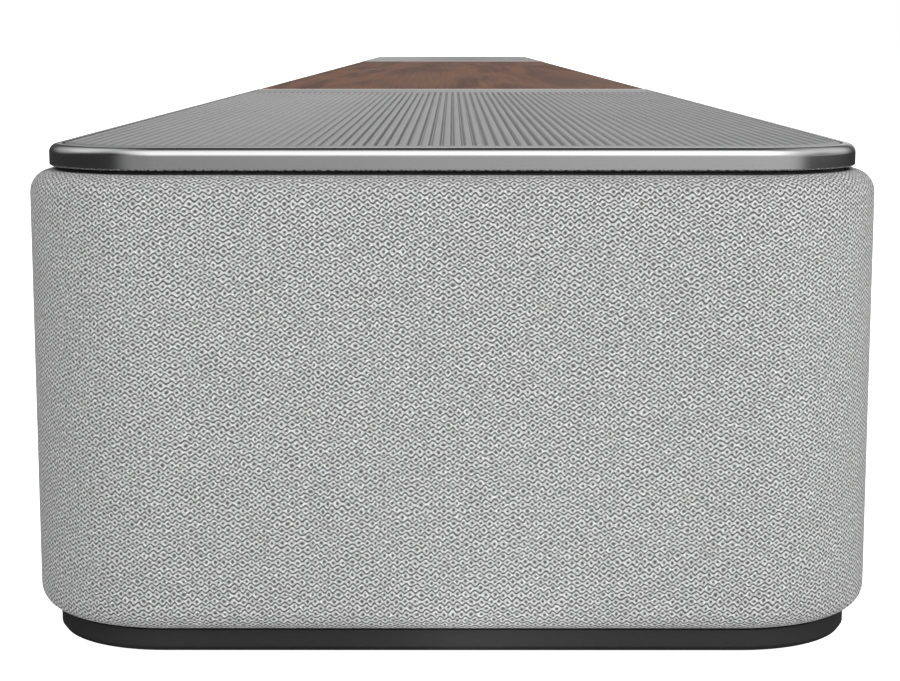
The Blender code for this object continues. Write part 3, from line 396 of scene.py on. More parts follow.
@dataclass(frozen=True)
class WarpKnit(Finish):
    """Light grey polyester warp knit, as woven for speaker covers.

    Rows of small oval loops, each with an open eye, lie half a stitch apart from row to row,
    with a wavy furrow between the rows. The colour darkens where the knit lies low, so the
    furrows and the eyes carry painted shade. It gives the eye a soft matt grey with a fine
    regular sparkle of light and dark that breaks up here and there where the yarn runs thick.
    """

    stitch: float = 1.31 * MM
    row: float = 0.95 * MM
    wave: float = 0.24
    wander: float = 4.5 * MM
    pull: float = 0.9
    furrow_width: float = 0.2
    eye: tuple[float, float] = (0.3, 0.6)
    fibre: float = 0.5 * MM
    # Ramp colours by height: painted shade in the furrows and eyes, painted half-shade, and the
    # yarn's own light grey.
    furrow_shade: str = "343434"
    yarn: str = "f0f0f0"
    shaded: str = "9c9c9c"
    relief: float = 0.5 * MM

    def dress(self, tree: Tree, shader: Node) -> None:
        """Draws the loops from the cloth's own UV, which is in metres."""
        new = partial(add_node, tree)
        cloth = new("ShaderNodeUVMap", uv_map="cloth")
        wander = new(
            "ShaderNodeTexNoise", {"Vector": cloth, "Scale": 1 / self.wander, "Detail": 2.0},
            noise_dimensions="2D").outputs["Color"]
        offset = new("ShaderNodeVectorMath", {0: wander, 1: (0.5, 0.5, 0.5)}, operation="SUBTRACT")
        pulled = new(
            "ShaderNodeVectorMath",
            {0: offset, 1: (self.pull * self.stitch, self.pull * self.row, 0), 2: cloth},
            operation="MULTIPLY_ADD")
        scaled = new(
            "ShaderNodeVectorMath", {0: pulled, 1: (1 / self.stitch, 1 / self.row, 0)},
            operation="MULTIPLY")
        split = new("ShaderNodeSeparateXYZ", {0: scaled})
        values: dict[str, Any] = {"u": split.outputs[0], "v": split.outputs[1]}
        add_steps(tree, "ShaderNodeMath", values, (
            ("row", "ROUND", "v"),
            ("turn", "MULTIPLY", "u", 2 * math.pi),
            ("phase", "MULTIPLY_ADD", "row", math.pi, "turn"),
            ("beat", "COSINE", "phase"),
            ("across", "SUBTRACT", "v", "row"),
            ("off", "ABSOLUTE", "across"),
            ("edge", "MULTIPLY_ADD", "beat", self.wave, 0.5),
            ("inside", "SUBTRACT", "edge", "off"),
            ("from_line", "ABSOLUTE", "inside"),
            ("falling", "SUBTRACT", 1.0, "beat"),
            ("sideways", "MULTIPLY", "falling", 0.5),
            ("squared", "MULTIPLY", "across", "across"),
            ("eye", "MULTIPLY_ADD", "squared", 5.0, "sideways"),
            ("half_row", "MULTIPLY", "row", 0.5),
            ("shifted", "SUBTRACT", "u", "half_row"),
            ("column", "ROUND", "shifted"),
        ))
        cell = new("ShaderNodeCombineXYZ", {0: values["column"], 1: values["row"]})
        chance = new("ShaderNodeTexWhiteNoise", {"Vector": cell}, noise_dimensions="2D")
        furrow_shade = new(
            "ShaderNodeMapRange",
            {"Value": values["from_line"], "From Min": 0.0, "From Max": self.furrow_width},
            interpolation_type="SMOOTHSTEP")
        eye_size = new(
            "ShaderNodeMapRange", {"Value": chance, "To Min": self.eye[0], "To Max": self.eye[1]})
        eye = new(
            "ShaderNodeMapRange",
            {"Value": values["eye"], "From Min": 0.0, "From Max": eye_size, "To Min": 0.1},
            interpolation_type="SMOOTHSTEP")
        thread = new("ShaderNodeMath", {0: furrow_shade, 1: eye}, operation="MULTIPLY")
        fibre = new(
            "ShaderNodeTexNoise",
            {"Vector": cloth, "Scale": 1 / self.fibre, "Detail": 3.0, "Roughness": 0.7},
            noise_dimensions="2D")
        uneven = new(
            "ShaderNodeMapRange",
            {"Value": fibre, "From Min": 0.3, "From Max": 0.7, "To Min": 0.5})
        height = new("ShaderNodeMath", {0: thread, 1: uneven}, operation="MULTIPLY")
        # Colour follows height, so the low furrows and eyes get painted shade.
        ramp = new("ShaderNodeValToRGB", {0: height})
        ramp.color_ramp.elements[0].color = linear(self.furrow_shade)
        ramp.color_ramp.elements[1].color = linear(self.yarn)
        ramp.color_ramp.elements.new(0.45).color = linear(self.shaded)
        bump = new("ShaderNodeBump", {"Height": height, "Distance": self.relief})
        feed(tree, shader, {
            "Base Color": ramp, "Normal": bump, "Roughness": 0.92, "IOR": 1.45,
            "Sheen Weight": 0.25, "Sheen Roughness": 0.5})


@dataclass(frozen=True)
class WalnutVeneer(Finish):
    """Crown-cut walnut veneer, oiled and waxed.

    Long flowing bands of brown run along the bar, with darker late-wood lines, a greyish cast
    between them and short open pores that catch the light as fine dashes.
    """

    early: str = "7a4e32"
    late: str = "4c2c1e"
    grey: str = "5e4a3e"
    band: float = 11 * MM
    length: float = 420 * MM
    pore: tuple[float, float] = (5 * MM, 0.22 * MM)
    relief: float = 0.03 * MM

    def dress(self, tree: Tree, shader: Node) -> None:
        """Draws bands, streaks and pores, stretched along the grain."""
        new = partial(add_node, tree)
        place = new("ShaderNodeTexCoord").outputs["Object"]
        layers = {}
        for name, along, across, detail, strain in (
                ("flow", self.length, 3.2 * self.band, 2.0, 0.6),
                ("bands", self.length, self.band, 4.0, 0.4),
                ("streaks", 90 * MM, 0.9 * MM, 4.0, 0.2),
                ("cast", self.length, 4 * self.band, 3.0, 0.3),
                ("pores", *self.pore, 2.0, 0.0)):
            stretched = new(
                "ShaderNodeMapping",
                {"Vector": place, "Scale": (1 / along, 1 / across, 1 / across)})
            layers[name] = new(
                "ShaderNodeTexNoise",
                {"Vector": stretched, "Scale": 1.0, "Detail": detail, "Roughness": 0.6,
                 "Distortion": strain})
        rings = new(
            "ShaderNodeMath", {0: layers["flow"], 1: 9.0, 2: layers["bands"]},
            operation="MULTIPLY_ADD")
        tooth = new("ShaderNodeMath", {0: rings, 1: 1.0}, operation="PINGPONG")
        line = new(
            "ShaderNodeMapRange", {"Value": tooth, "From Min": 0.05, "From Max": 0.95},
            interpolation_type="SMOOTHSTEP")
        streak = new(
            "ShaderNodeMapRange", {"Value": layers["streaks"], "From Min": 0.35, "From Max": 0.65})
        grain = new("ShaderNodeMix", {0: 0.45, 2: line, 3: streak}, data_type="FLOAT")
        brown = new(
            "ShaderNodeMix", {0: grain, 6: linear(self.late), 7: linear(self.early)},
            data_type="RGBA").outputs[2]
        cast = new(
            "ShaderNodeMapRange",
            {"Value": layers["cast"], "From Min": 0.45, "From Max": 0.75, "To Max": 0.55})
        toned = new(
            "ShaderNodeMix", {0: cast, 6: brown, 7: linear(self.grey)},
            data_type="RGBA").outputs[2]
        pore = new(
            "ShaderNodeMapRange", {"Value": layers["pores"], "From Min": 0.60, "From Max": 0.68})
        open_pore = new("ShaderNodeMath", {0: pore, 1: 0.55}, operation="MULTIPLY")
        colour = new(
            "ShaderNodeMix", {0: open_pore, 6: toned, 7: linear("1d130d")},
            data_type="RGBA").outputs[2]
        height = new("ShaderNodeMath", {0: grain, 1: pore}, operation="SUBTRACT")
        bump = new("ShaderNodeBump", {"Height": height, "Distance": self.relief})
        gloss = new("ShaderNodeMapRange", {"Value": grain, "To Min": 0.64, "To Max": 0.56})
        feed(tree, shader, {
            "Base Color": colour, "Roughness": gloss, "Normal": bump, "IOR": 1.45})


@dataclass(frozen=True)
class CircuitBoard(Finish):
    """Glass-epoxy board under green solder mask, with copper tracks showing through.

    The tracks give faint lighter lines at right angles, and the mask gives a low gloss.
    """

    mask: str = "0f3b22"
    track: str = "2c6b3c"
    pitch: float = 1.4 * MM

    def dress(self, tree: Tree, shader: Node) -> None:
        """Draws tracks as the edges of blocky cells."""
        new = partial(add_node, tree)
        place = new("ShaderNodeTexCoord").outputs["Object"]
        cells = new(
            "ShaderNodeTexVoronoi",
            {"Vector": place, "Scale": 1 / (3 * self.pitch), "Randomness": 0.6},
            distance="CHEBYCHEV").outputs["Distance"]
        ring = new("ShaderNodeMath", {0: cells, 1: 0.13}, operation="PINGPONG")
        share = new("ShaderNodeMapRange", {"Value": ring, "From Min": 0.045, "From Max": 0.055})
        colour = new(
            "ShaderNodeMix", {0: share, 6: linear(self.track), 7: linear(self.mask)},
            data_type="RGBA").outputs[2]
        bump = new("ShaderNodeBump", {"Height": share, "Distance": 0.03 * MM}, invert=True)
        feed(tree, shader, {
            "Base Color": colour, "Normal": bump, "Roughness": 0.35, "IOR": 1.55})


KNIT = WarpKnit("polyester_warp_knit", "knit")
# Bead-blasted, anodised aluminium: an even, soft sheen with no brushing lines.
ALUMINIUM = GrainedFinish(
    "blasted_anodised_aluminium", "satin_metal", "b2b2b3", "bababb", grain=0.18 * MM,
    relief=0.002 * MM, roughness=(0.19, 0.23), metallic=1.0)
# The grilles are the same metal, blasted a little coarser after the grooves are cut.
GRILLE_METAL = GrainedFinish(
    "blasted_grooved_aluminium", "satin_metal", "a9a9aa", "b8b8b9", grain=0.22 * MM,
    relief=0.004 * MM, roughness=(0.29, 0.35), metallic=1.0)
WALNUT = WalnutVeneer("waxed_walnut_veneer", "walnut")
# Moulded ABS with a fine spark-eroded texture: a charcoal that greys slightly at a glance.
ABS = GrainedFinish(
    "textured_black_abs", "black_plastic", "202021", "282829", grain=0.35 * MM,
    relief=0.03 * MM, roughness=(0.5, 0.62), ior=1.52)
# The parts that stay inside are moulded smoother and left darker.
INNER_ABS = GrainedFinish(
    "moulded_black_abs", "black_plastic", "151516", "1e1e1f", grain=0.8 * MM,
    relief=0.01 * MM, roughness=(0.42, 0.55), ior=1.52)
# Nitrile rubber, pressed in a mould: dead black, dulled by a fine bloom.
RUBBER = GrainedFinish(
    "pressed_nitrile_rubber", "rubber", "141414", "1f1f1f", grain=0.25 * MM,
    relief=0.02 * MM, roughness=(0.8, 0.92), ior=1.52)
# Pressed paper pulp with short fibres: matt charcoal, faintly mottled.
PAPER = GrainedFinish(
    "pressed_paper_pulp", "cone_paper", "1b1b1c", "2b2a29", grain=0.5 * MM,
    stretch=(1, 1, 2.5), relief=0.05 * MM, roughness=(0.75, 0.9), ior=1.45)
# Zinc-plated steel: a cool bright grey with a cloudy spangle.
PLATED_STEEL = GrainedFinish(
    "zinc_plated_steel", "steel", "9a9b9e", "bfc0c2", grain=2.5 * MM,
    relief=0.01 * MM, roughness=(0.25, 0.4), metallic=1.0)
# Black-oxide screws: a dull dark grey with a slight oily sheen.
BLACK_STEEL = GrainedFinish(
    "black_oxide_steel", "steel", "2a2a2c", "37373a", grain=0.4 * MM,
    relief=0.006 * MM, roughness=(0.35, 0.45), metallic=1.0)
BOARD = CircuitBoard("masked_circuit_board", "circuit_board")
# Extruded aluminium, clear anodised: die lines run across the fins.
EXTRUSION = GrainedFinish(
    "extruded_aluminium", "heat_sink_metal", "b4b5b6", "cacbcc", grain=0.4 * MM,
    stretch=(1, 0.05, 1), relief=0.01 * MM, roughness=(0.3, 0.42), metallic=1.0)
# Turned brass: warm yellow with fine tool marks round the axis.
BRASS = GrainedFinish(
    "turned_brass", "brass", "b08d4a", "cdaa62", grain=0.3 * MM,
    stretch=(1, 4, 1), relief=0.006 * MM, roughness=(0.22, 0.34), metallic=1.0)
# Button caps: turned aluminium, anodised a dark bronze that sinks into the wood.
CAP_METAL = GrainedFinish(
    "bronze_anodised_caps", "button_metal", "4a3a30", "57453a", grain=0.15 * MM,
    relief=0.003 * MM, roughness=(0.24, 0.32), metallic=1.0)
# Light grey pad-printed ink, slightly raised and matt.
INK = GrainedFinish(
    "pad_printed_ink", "button_metal", "b9b9b9", "c6c6c6", grain=0.2 * MM,
    relief=0.002 * MM, roughness=(0.5, 0.6), ior=1.5)
# Smoked acrylic of the display window.
ACRYLIC = GrainedFinish(
    "smoked_acrylic", "black_plastic", "0a0a0b", "101011", grain=3 * MM,
    relief=0.001 * MM, roughness=(0.06, 0.12), ior=1.49, coat=0.3)


@dataclass(frozen=True)
class Lamp:
    """A smooth round patch of light: where it lies, where it fades in, and its strength."""

    aim: tuple[float, float, float]
    outer: float
    inner: float
    power: float

    @staticmethod
    def total(tree: Tree, way: Any, lamps: Sequence["Lamp"], ambient: float) -> Any:
        """Adds up the lamps that lie in a direction.

        Args:
            tree: the world's or a material's tree.
            way: output that holds the unit direction.
            lamps: the patches, with their half angles in degrees.
            ambient: strength where there are none.

        Returns:
            The output that holds the strength.
        """
        new = partial(add_node, tree)
        light = ambient
        for lamp in lamps:
            toward = new(
                "ShaderNodeVectorMath", {0: way, 1: Vector(lamp.aim).normalized()},
                operation="DOT_PRODUCT").outputs["Value"]
            patch = new(
                "ShaderNodeMapRange",
                {"Value": toward, "From Min": math.cos(math.radians(lamp.outer)),
                 "From Max": math.cos(math.radians(lamp.inner)), "To Max": lamp.power},
                interpolation_type="SMOOTHSTEP")
            light = new("ShaderNodeMath", {0: patch, 1: light}, operation="ADD")
        return light


# The long soft lamps beyond the bar's end that the metal rim mirrors: one wide, one brighter.
# The floor's sweep also paints a pool of glow in their shape round the bar's end.
END_LAMPS = (
    Lamp((0.985, 0.174, 0.0), 60, 41, 0.36),
    Lamp((0.883, 0.469, 0.0), 40, 15, 0.36),
)


@dataclass(frozen=True)
class LitSweep(Finish):
    """White acrylic sweep, lit from below as for product shots.

    It glows evenly to the eye. Polished pieces see it a painted dark grey, except for a pool of
    glow painted round the bar's end in the shape of the end lamps. That painted reflection
    draws the soft gradient along the metal rim, and matt pieces take the same painted pool as
    light.
    """

    colour: str = "e6e6e6"
    # Colour seen only in reflections: a painted dark reflection of the floor.
    mirrored: str = "262626"
    glow: float = 1.0
    dim: float = 0.03
    # The middle of the pool of glow painted on the floor.
    end: tuple[float, float, float] = (683 * MM, 0.0, 0.0)

    def dress(self, tree: Tree, shader: Node) -> None:
        """Chooses colour and glow by the kind of ray that meets the floor."""
        new = partial(add_node, tree)
        path = new("ShaderNodeLightPath").outputs
        place = new("ShaderNodeTexCoord").outputs["Object"]
        away = new("ShaderNodeVectorMath", {0: place, 1: self.end}, operation="SUBTRACT")
        way = new("ShaderNodeVectorMath", {0: away}, operation="NORMALIZE")
        # A pool of glow painted on the floor round the bar's end, seen by every ray except the
        # camera's.
        painted_pool = Lamp.total(tree, way, END_LAMPS, self.dim)
        grain = new("ShaderNodeTexNoise", {"Vector": place, "Scale": 400.0})
        even = new(
            "ShaderNodeMapRange",
            {"Value": grain, "To Min": 0.98 * self.glow, "To Max": self.glow})
        glow = new(
            "ShaderNodeMix", {0: path["Is Camera Ray"], 2: painted_pool, 3: even}, data_type="FLOAT")
        colour = new(
            "ShaderNodeMix",
            {0: path["Is Glossy Ray"], 6: linear(self.colour), 7: linear(self.mirrored)},
            data_type="RGBA").outputs[2]
        feed(tree, shader, {
            "Base Color": colour, "Emission Strength": glow, "Emission Color": (1, 1, 1, 1),
            "Roughness": 1.0, "Specular IOR Level": 0.0})


SWEEP = LitSweep("lit_acrylic_sweep", "")


def hand_over(piece: Object, finish: Finish, replaces: Sequence[str] = (),
              body: str = ROOT_BODY) -> Object:
    """Gives a finished piece its material and its body, and hides the CAD nodes it stands for.

    Args:
        piece: the piece, at the origin.
        finish: its surface.
        replaces: the CAD nodes that it stands for.
        body: the body that it moves with.

    Returns:
        The same piece.
    """
    piece.data.materials.clear()
    piece.data.materials.append(finish.material())
    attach(piece, body)
    if replaces:
        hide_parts(*replaces)
    LOG.info("%s: %d faces, %s", piece.name, len(piece.data.polygons), finish.name)
    return piece


# ------------------------------------------------------------------ repeats


class Repeat(Enum):
    """What a geometry tree repeats."""

    GROOVES = "groove_row"
    SCREWS = "screw_row"


@dataclass
class RepeatTree:
    """A geometry tree with named inputs, built once and used on one piece at a time."""

    kind: Repeat
    inputs: dict[str, float | int]
    grow: Callable[[Tree, Node], Any]

    def tree(self) -> Tree:
        """Builds the tree the first time it is asked for.

        Returns:
            A tree that ends in Realize Instances and Set Material.
        """
        made = bpy.data.node_groups.get(self.kind.value)
        if made:
            return made
        made = bpy.data.node_groups.new(self.kind.value, "GeometryNodeTree")
        face = made.interface
        face.new_socket("Geometry", in_out="INPUT", socket_type="NodeSocketGeometry")
        for name, value in self.inputs.items():
            kind = "NodeSocketInt" if isinstance(value, int) else "NodeSocketFloat"
            face.new_socket(name, in_out="INPUT", socket_type=kind).default_value = value
        face.new_socket("Finish", in_out="INPUT", socket_type="NodeSocketMaterial")
        face.new_socket("Geometry", in_out="OUTPUT", socket_type="NodeSocketGeometry")
        given = add_node(made, "NodeGroupInput")
        grown = self.grow(made, given)
        real = add_node(made, "GeometryNodeRealizeInstances", {0: grown})
        dressed = add_node(
            made, "GeometryNodeSetMaterial",
            {"Geometry": real, "Material": given.outputs["Finish"]})
        add_node(made, "NodeGroupOutput", {0: dressed})
        return made

    def apply(self, obj: Object, finish: Finish, **values: float | int) -> Object:
        """Runs the tree on an object and keeps the result as its mesh.

        Args:
            obj: the piece, or the points, that the tree starts from.
            finish: the material of the result.
            values: sizes by input name, with underscores for spaces.

        Returns:
            The object.
        """
        tree = self.tree()
        modifier = obj.modifiers.new(self.kind.value, "NODES")
        modifier.node_group = tree
        given = {name.replace("_", " "): value for name, value in values.items()}
        given["Finish"] = finish.material()
        for item in tree.interface.items_tree:
            if item.in_out == "INPUT" and item.name in given:
                modifier[item.identifier] = given[item.name]
        return settle(obj)


def centred_row(tree: Tree, size: Any, axis: int, rest: dict[int, Any] | None = None) -> Any:
    """Points a pitch apart along an axis, centred on the origin.

    Args:
        tree: the tree to build in.
        size: the group input's outputs, with its Count and its Pitch.
        axis: 0 for X or 1 for Y.
        rest: the start's other coordinates, by axis.

    Returns:
        The points' geometry.
    """
    new = partial(add_node, tree)
    values: dict[str, Any] = {"Count": size["Count"], "Pitch": size["Pitch"]}
    add_steps(tree, "ShaderNodeMath", values, (
        ("gaps", "SUBTRACT", "Count", 1.0),
        ("half", "MULTIPLY", "gaps", -0.5),
        ("first", "MULTIPLY", "half", "Pitch"),
    ))
    start = new("ShaderNodeCombineXYZ", {axis: values["first"], **(rest or {})})
    step = new("ShaderNodeCombineXYZ", {axis: size["Pitch"]})
    return new(
        "GeometryNodeMeshLine", {"Count": size["Count"], "Start Location": start, "Offset": step},
        mode="OFFSET")


def grow_grooves(tree: Tree, given: Node) -> Any:
    """Cuts a row of straight grooves with sloping walls, whose outer ends follow a round corner.

    Args:
        tree: the tree to build in.
        given: its group input.

    Returns:
        The cut geometry.
    """
    new = partial(add_node, tree)
    size = given.outputs
    points = centred_row(tree, size, axis=1)
    place = new("GeometryNodeInputPosition")
    across = new("ShaderNodeSeparateXYZ", {0: place}).outputs[1]
    values: dict[str, Any] = {name: size[name] for name in (
        "Reach", "Corner Radius", "Start", "End", "Side")}
    values["y"] = across
    add_steps(tree, "ShaderNodeMath", values, (
        ("away", "ABSOLUTE", "y"),
        ("beyond", "SUBTRACT", "away", "Reach"),
        ("past", "MAXIMUM", "beyond", 0.0),
        ("past_2", "MULTIPLY", "past", "past"),
        ("radius_2", "MULTIPLY", "Corner Radius", "Corner Radius"),
        ("left_2", "SUBTRACT", "radius_2", "past_2"),
        ("left", "SQRT", "left_2"),
        ("drop", "SUBTRACT", "Corner Radius", "left"),
        ("stop", "SUBTRACT", "End", "drop"),
        ("length", "SUBTRACT", "stop", "Start"),
        ("near", "MULTIPLY", "Side", "Start"),
        ("mirrored", "MINIMUM", "Side", 0.0),
        ("shift", "MULTIPLY", "mirrored", "length"),
        ("x", "ADD", "near", "shift"),
    ))
    moved = new(
        "GeometryNodeSetPosition",
        {"Geometry": points, "Offset": new("ShaderNodeCombineXYZ", {0: values["x"]})})
    cutter = groove_cutter(tree, size)
    scale = new("ShaderNodeCombineXYZ", {0: values["length"], 1: 1.0, 2: 1.0})
    rows = new(
        "GeometryNodeInstanceOnPoints", {"Points": moved, "Instance": cutter, "Scale": scale})
    solid = new("GeometryNodeRealizeInstances", {0: rows})
    return new(
        "GeometryNodeMeshBoolean", {"Mesh 1": size["Geometry"], "Mesh 2": solid},
        operation="DIFFERENCE", solver="EXACT")


def groove_cutter(tree: Tree, size: Any) -> Any:
    """A bar of unit length along +X whose section widens from the groove's floor upwards.

    Args:
        tree: the tree to build in.
        size: the group input's outputs.

    Returns:
        The bar's geometry.
    """
    new = partial(add_node, tree)
    cube = new("GeometryNodeMeshCube", {"Size": (1.0, 1.0, 1.0)})
    corner = new("ShaderNodeSeparateXYZ", {0: new("GeometryNodeInputPosition")}).outputs
    values: dict[str, Any] = {name: size[name] for name in (
        "Top Width", "Floor Width", "Depth", "Top", "Rise")}
    values.update(cx=corner[0], cy=corner[1], cz=corner[2])
    add_steps(tree, "ShaderNodeMath", values, (
        ("up", "ADD", "cz", 0.5),
        ("span", "ADD", "Depth", "Rise"),
        ("climb", "MULTIPLY", "up", "span"),
        ("floor", "SUBTRACT", "Top", "Depth"),
        ("z", "ADD", "floor", "climb"),
        ("flare", "SUBTRACT", "Top Width", "Floor Width"),
        ("slope", "DIVIDE", "flare", "Depth"),
        ("width", "MULTIPLY_ADD", "climb", "slope", "Floor Width"),
        ("y", "MULTIPLY", "cy", "width"),
        ("x", "ADD", "cx", 0.5),
    ))
    shaped = new("ShaderNodeCombineXYZ", {0: values["x"], 1: values["y"], 2: values["z"]})
    return new("GeometryNodeSetPosition", {"Geometry": cube, "Position": shaped})


GROOVES = RepeatTree(
    Repeat.GROOVES,
    {"Count": 71, "Pitch": 1.6 * MM, "Top Width": 0.8 * MM, "Floor Width": 0.4 * MM,
     "Depth": 1.2 * MM, "Top": 0.0, "Rise": 1.0 * MM, "Start": 0.0, "End": 1.0, "Side": 1.0,
     "Reach": 0.0, "Corner Radius": 10 * MM},
    grow_grooves)


def grow_screws(tree: Tree, given: Node) -> Any:
    """Sets one copy of the screw at each point of a row.

    Args:
        tree: the tree to build in.
        given: its group input, whose geometry is the screw.

    Returns:
        The row of screws.
    """
    size = given.outputs
    points = centred_row(tree, size, axis=0, rest={1: size["Across"], 2: size["Height"]})
    return add_node(
        tree, "GeometryNodeInstanceOnPoints", {"Points": points, "Instance": size["Geometry"]})


SCREWS = RepeatTree(
    Repeat.SCREWS, {"Count": 6, "Pitch": 100 * MM, "Across": 0.0, "Height": 0.0}, grow_screws)


# ------------------------------------------------------------------ top


@dataclass
class MetalTop:
    """The metal rim with its ledges, and the two grooved grilles let into it."""

    radius: float = 17.7 * MM
    corner_steps: int = 28
    fillet: float = 1.3 * MM
    fillet_steps: int = 9
    foot_chamfer: float = 0.2 * MM
    rim: float = 1.9 * MM
    ledge: float = 4.0 * MM
    pitch: float = 1.6135 * MM
    groove_top: float = 0.84 * MM
    groove_floor: float = 0.16 * MM
    groove_depth: float = 0.7 * MM
    flare: float = 0.06 * MM
    side_margin: float = 2.75 * MM
    end_margin: float = 7.0 * MM
    inner_margin: float = 29.5 * MM
    field_radius: float = 14.0 * MM
    edge_break: float = 0.12 * MM
    hole_clearance: float = 0.4 * MM

    def __post_init__(self) -> None:
        """Reads the rim's and the grilles' extents from the frame."""
        self.low, self.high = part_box("top_trim")
        self.plate_low, self.plate_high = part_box("top_grille_right")
        self.wood_low, self.wood_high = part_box("wood_panel")

    def end_outline(self, side: int, inner_x: float, inset: float) -> list[Vector]:
        """Plan of an end: round at the bar's end and square towards the middle.

        Args:
            side: -1 or 1.
            inner_x: where the square side lies.
            inset: distance in from the rim's outside.

        Returns:
            The outline's points.
        """
        half_depth = self.high.y - inset
        outer = rounded_outline(self.high.x - inset, half_depth, self.radius - inset)
        end = [p for p in outer if p.x > 0]
        half = len(end) // 2
        corners = end[:half] + [
            Vector((inner_x, half_depth)), Vector((inner_x, -half_depth))] + end[half:]
        return [Vector((side * p.x, p.y)) for p in corners]

    def rim_body(self) -> Object:
        """The full slab of the rim, with its top edge rolled over and its foot eased."""
        levels = [(self.foot_chamfer, self.low.z), (0.0, self.low.z + self.foot_chamfer)]
        centre = (self.fillet, self.high.z - self.fillet)
        levels += arc(centre, self.fillet, 180, 90, self.fillet_steps)
        return stacked("metal_rim", levels, lambda inset: rounded_outline(
            self.high.x - inset, self.high.y - inset, self.radius - inset, self.corner_steps))

    def build_rim(self, button_holes: Callable[[str, float], list[Object]]) -> Object:
        """Cuts the seats for the grilles, the wood's bed and the button holes into the rim.

        Args:
            button_holes: makes the cutters of the button holes, for a name and a clearance.

        Returns:
            The finished rim.
        """
        ledge_top = self.plate_low.z - FIT_GAP
        over = 5 * MM
        seat_x = self.plate_low.x - FIT_GAP
        cutters = []
        for side in (-1, 1):
            for name, step, bottom in (
                    ("seat", 0.0, ledge_top), ("through", self.ledge, self.low.z - over)):
                cutters.append(stacked(
                    name, [(step, bottom), (step, self.high.z + over)],
                    lambda inset: self.end_outline(side, seat_x + inset, self.rim + inset)))
        bed = self.wood_high.x + FIT_GAP
        cutters.append(block(
            "bed", (-bed, -2 * self.high.y, self.wood_low.z - FIT_GAP),
            (bed, 2 * self.high.y, self.high.z + over)))
        cutters += button_holes("trim_hole", self.hole_clearance)
        rim = carve(self.rim_body(), cutters)
        return hand_over(weight_normals(rim), ALUMINIUM, ("top_trim",))

    def build_grille(self, side: int, node: str) -> Object:
        """One grille: a plate with a broken edge and a field of grooves.

        Args:
            side: -1 or 1.
            node: the CAD node it stands for.

        Returns:
            The finished grille.
        """
        inner = self.plate_low.x
        levels = [(0.0, self.plate_low.z), (0.0, self.plate_high.z - self.edge_break),
                  (self.edge_break, self.plate_high.z)]
        plate = stacked(
            node.replace("top_", "") + "_plate", levels,
            lambda inset: self.end_outline(side, inner + inset, self.rim + FIT_GAP + inset))
        reach = self.high.y - self.side_margin - self.field_radius
        span = self.high.y - self.side_margin - self.groove_top / 2
        common = dict(
            Count=2 * int(span / self.pitch) + 1, Pitch=self.pitch, Top=self.plate_high.z,
            Side=float(side), Reach=reach, Corner_Radius=self.field_radius)
        start = inner + self.inner_margin
        end = self.high.x - self.end_margin
        GROOVES.apply(
            plate, GRILLE_METAL, Top_Width=self.groove_top, Floor_Width=self.groove_floor,
            Depth=self.groove_depth, Start=start, End=end, **common)
        GROOVES.apply(
            plate, GRILLE_METAL, Top_Width=self.groove_top + 2 * self.flare,
            Floor_Width=self.groove_top - 2 * self.flare, Depth=2 * self.flare,
            Start=start - self.flare, End=end + self.flare, **common)
        plate.data.shade_flat()
        return hand_over(plate, GRILLE_METAL, (node,))


@dataclass
class WoodPanel:
    """Veneered panel across the middle of the top, with soft long edges."""

    fillet: float = 1.3 * MM
    fillet_steps: int = 8
    end_break: float = 0.12 * MM
    hole_clearance: float = -0.7 * MM

    def build(self, button_holes: Callable[[str, float], list[Object]]) -> Object:
        """Makes the panel, with a hole for each button."""
        low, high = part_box("wood_panel")
        section = [(-high.y, low.z)]
        section += [(-high.y + p[0], p[1]) for p in arc(
            (self.fillet, high.z - self.fillet), self.fillet, 180, 90, self.fillet_steps)]
        section += [(-y, z) for y, z in reversed(section)]
        middle_z = (low.z + high.z) / 2
        rings = []
        for x, drop in (
                (low.x, self.end_break), (low.x + self.end_break, 0.0),
                (high.x - self.end_break, 0.0), (high.x, self.end_break)):
            rings.append([
                Vector((x, y, z - drop if z > middle_z else z)) for y, z in section])
        panel = object_from("walnut_panel", lofted(rings))
        carve(panel, button_holes("wood_hole", self.hole_clearance))
        return hand_over(weight_normals(panel), WALNUT, ("wood_panel",))


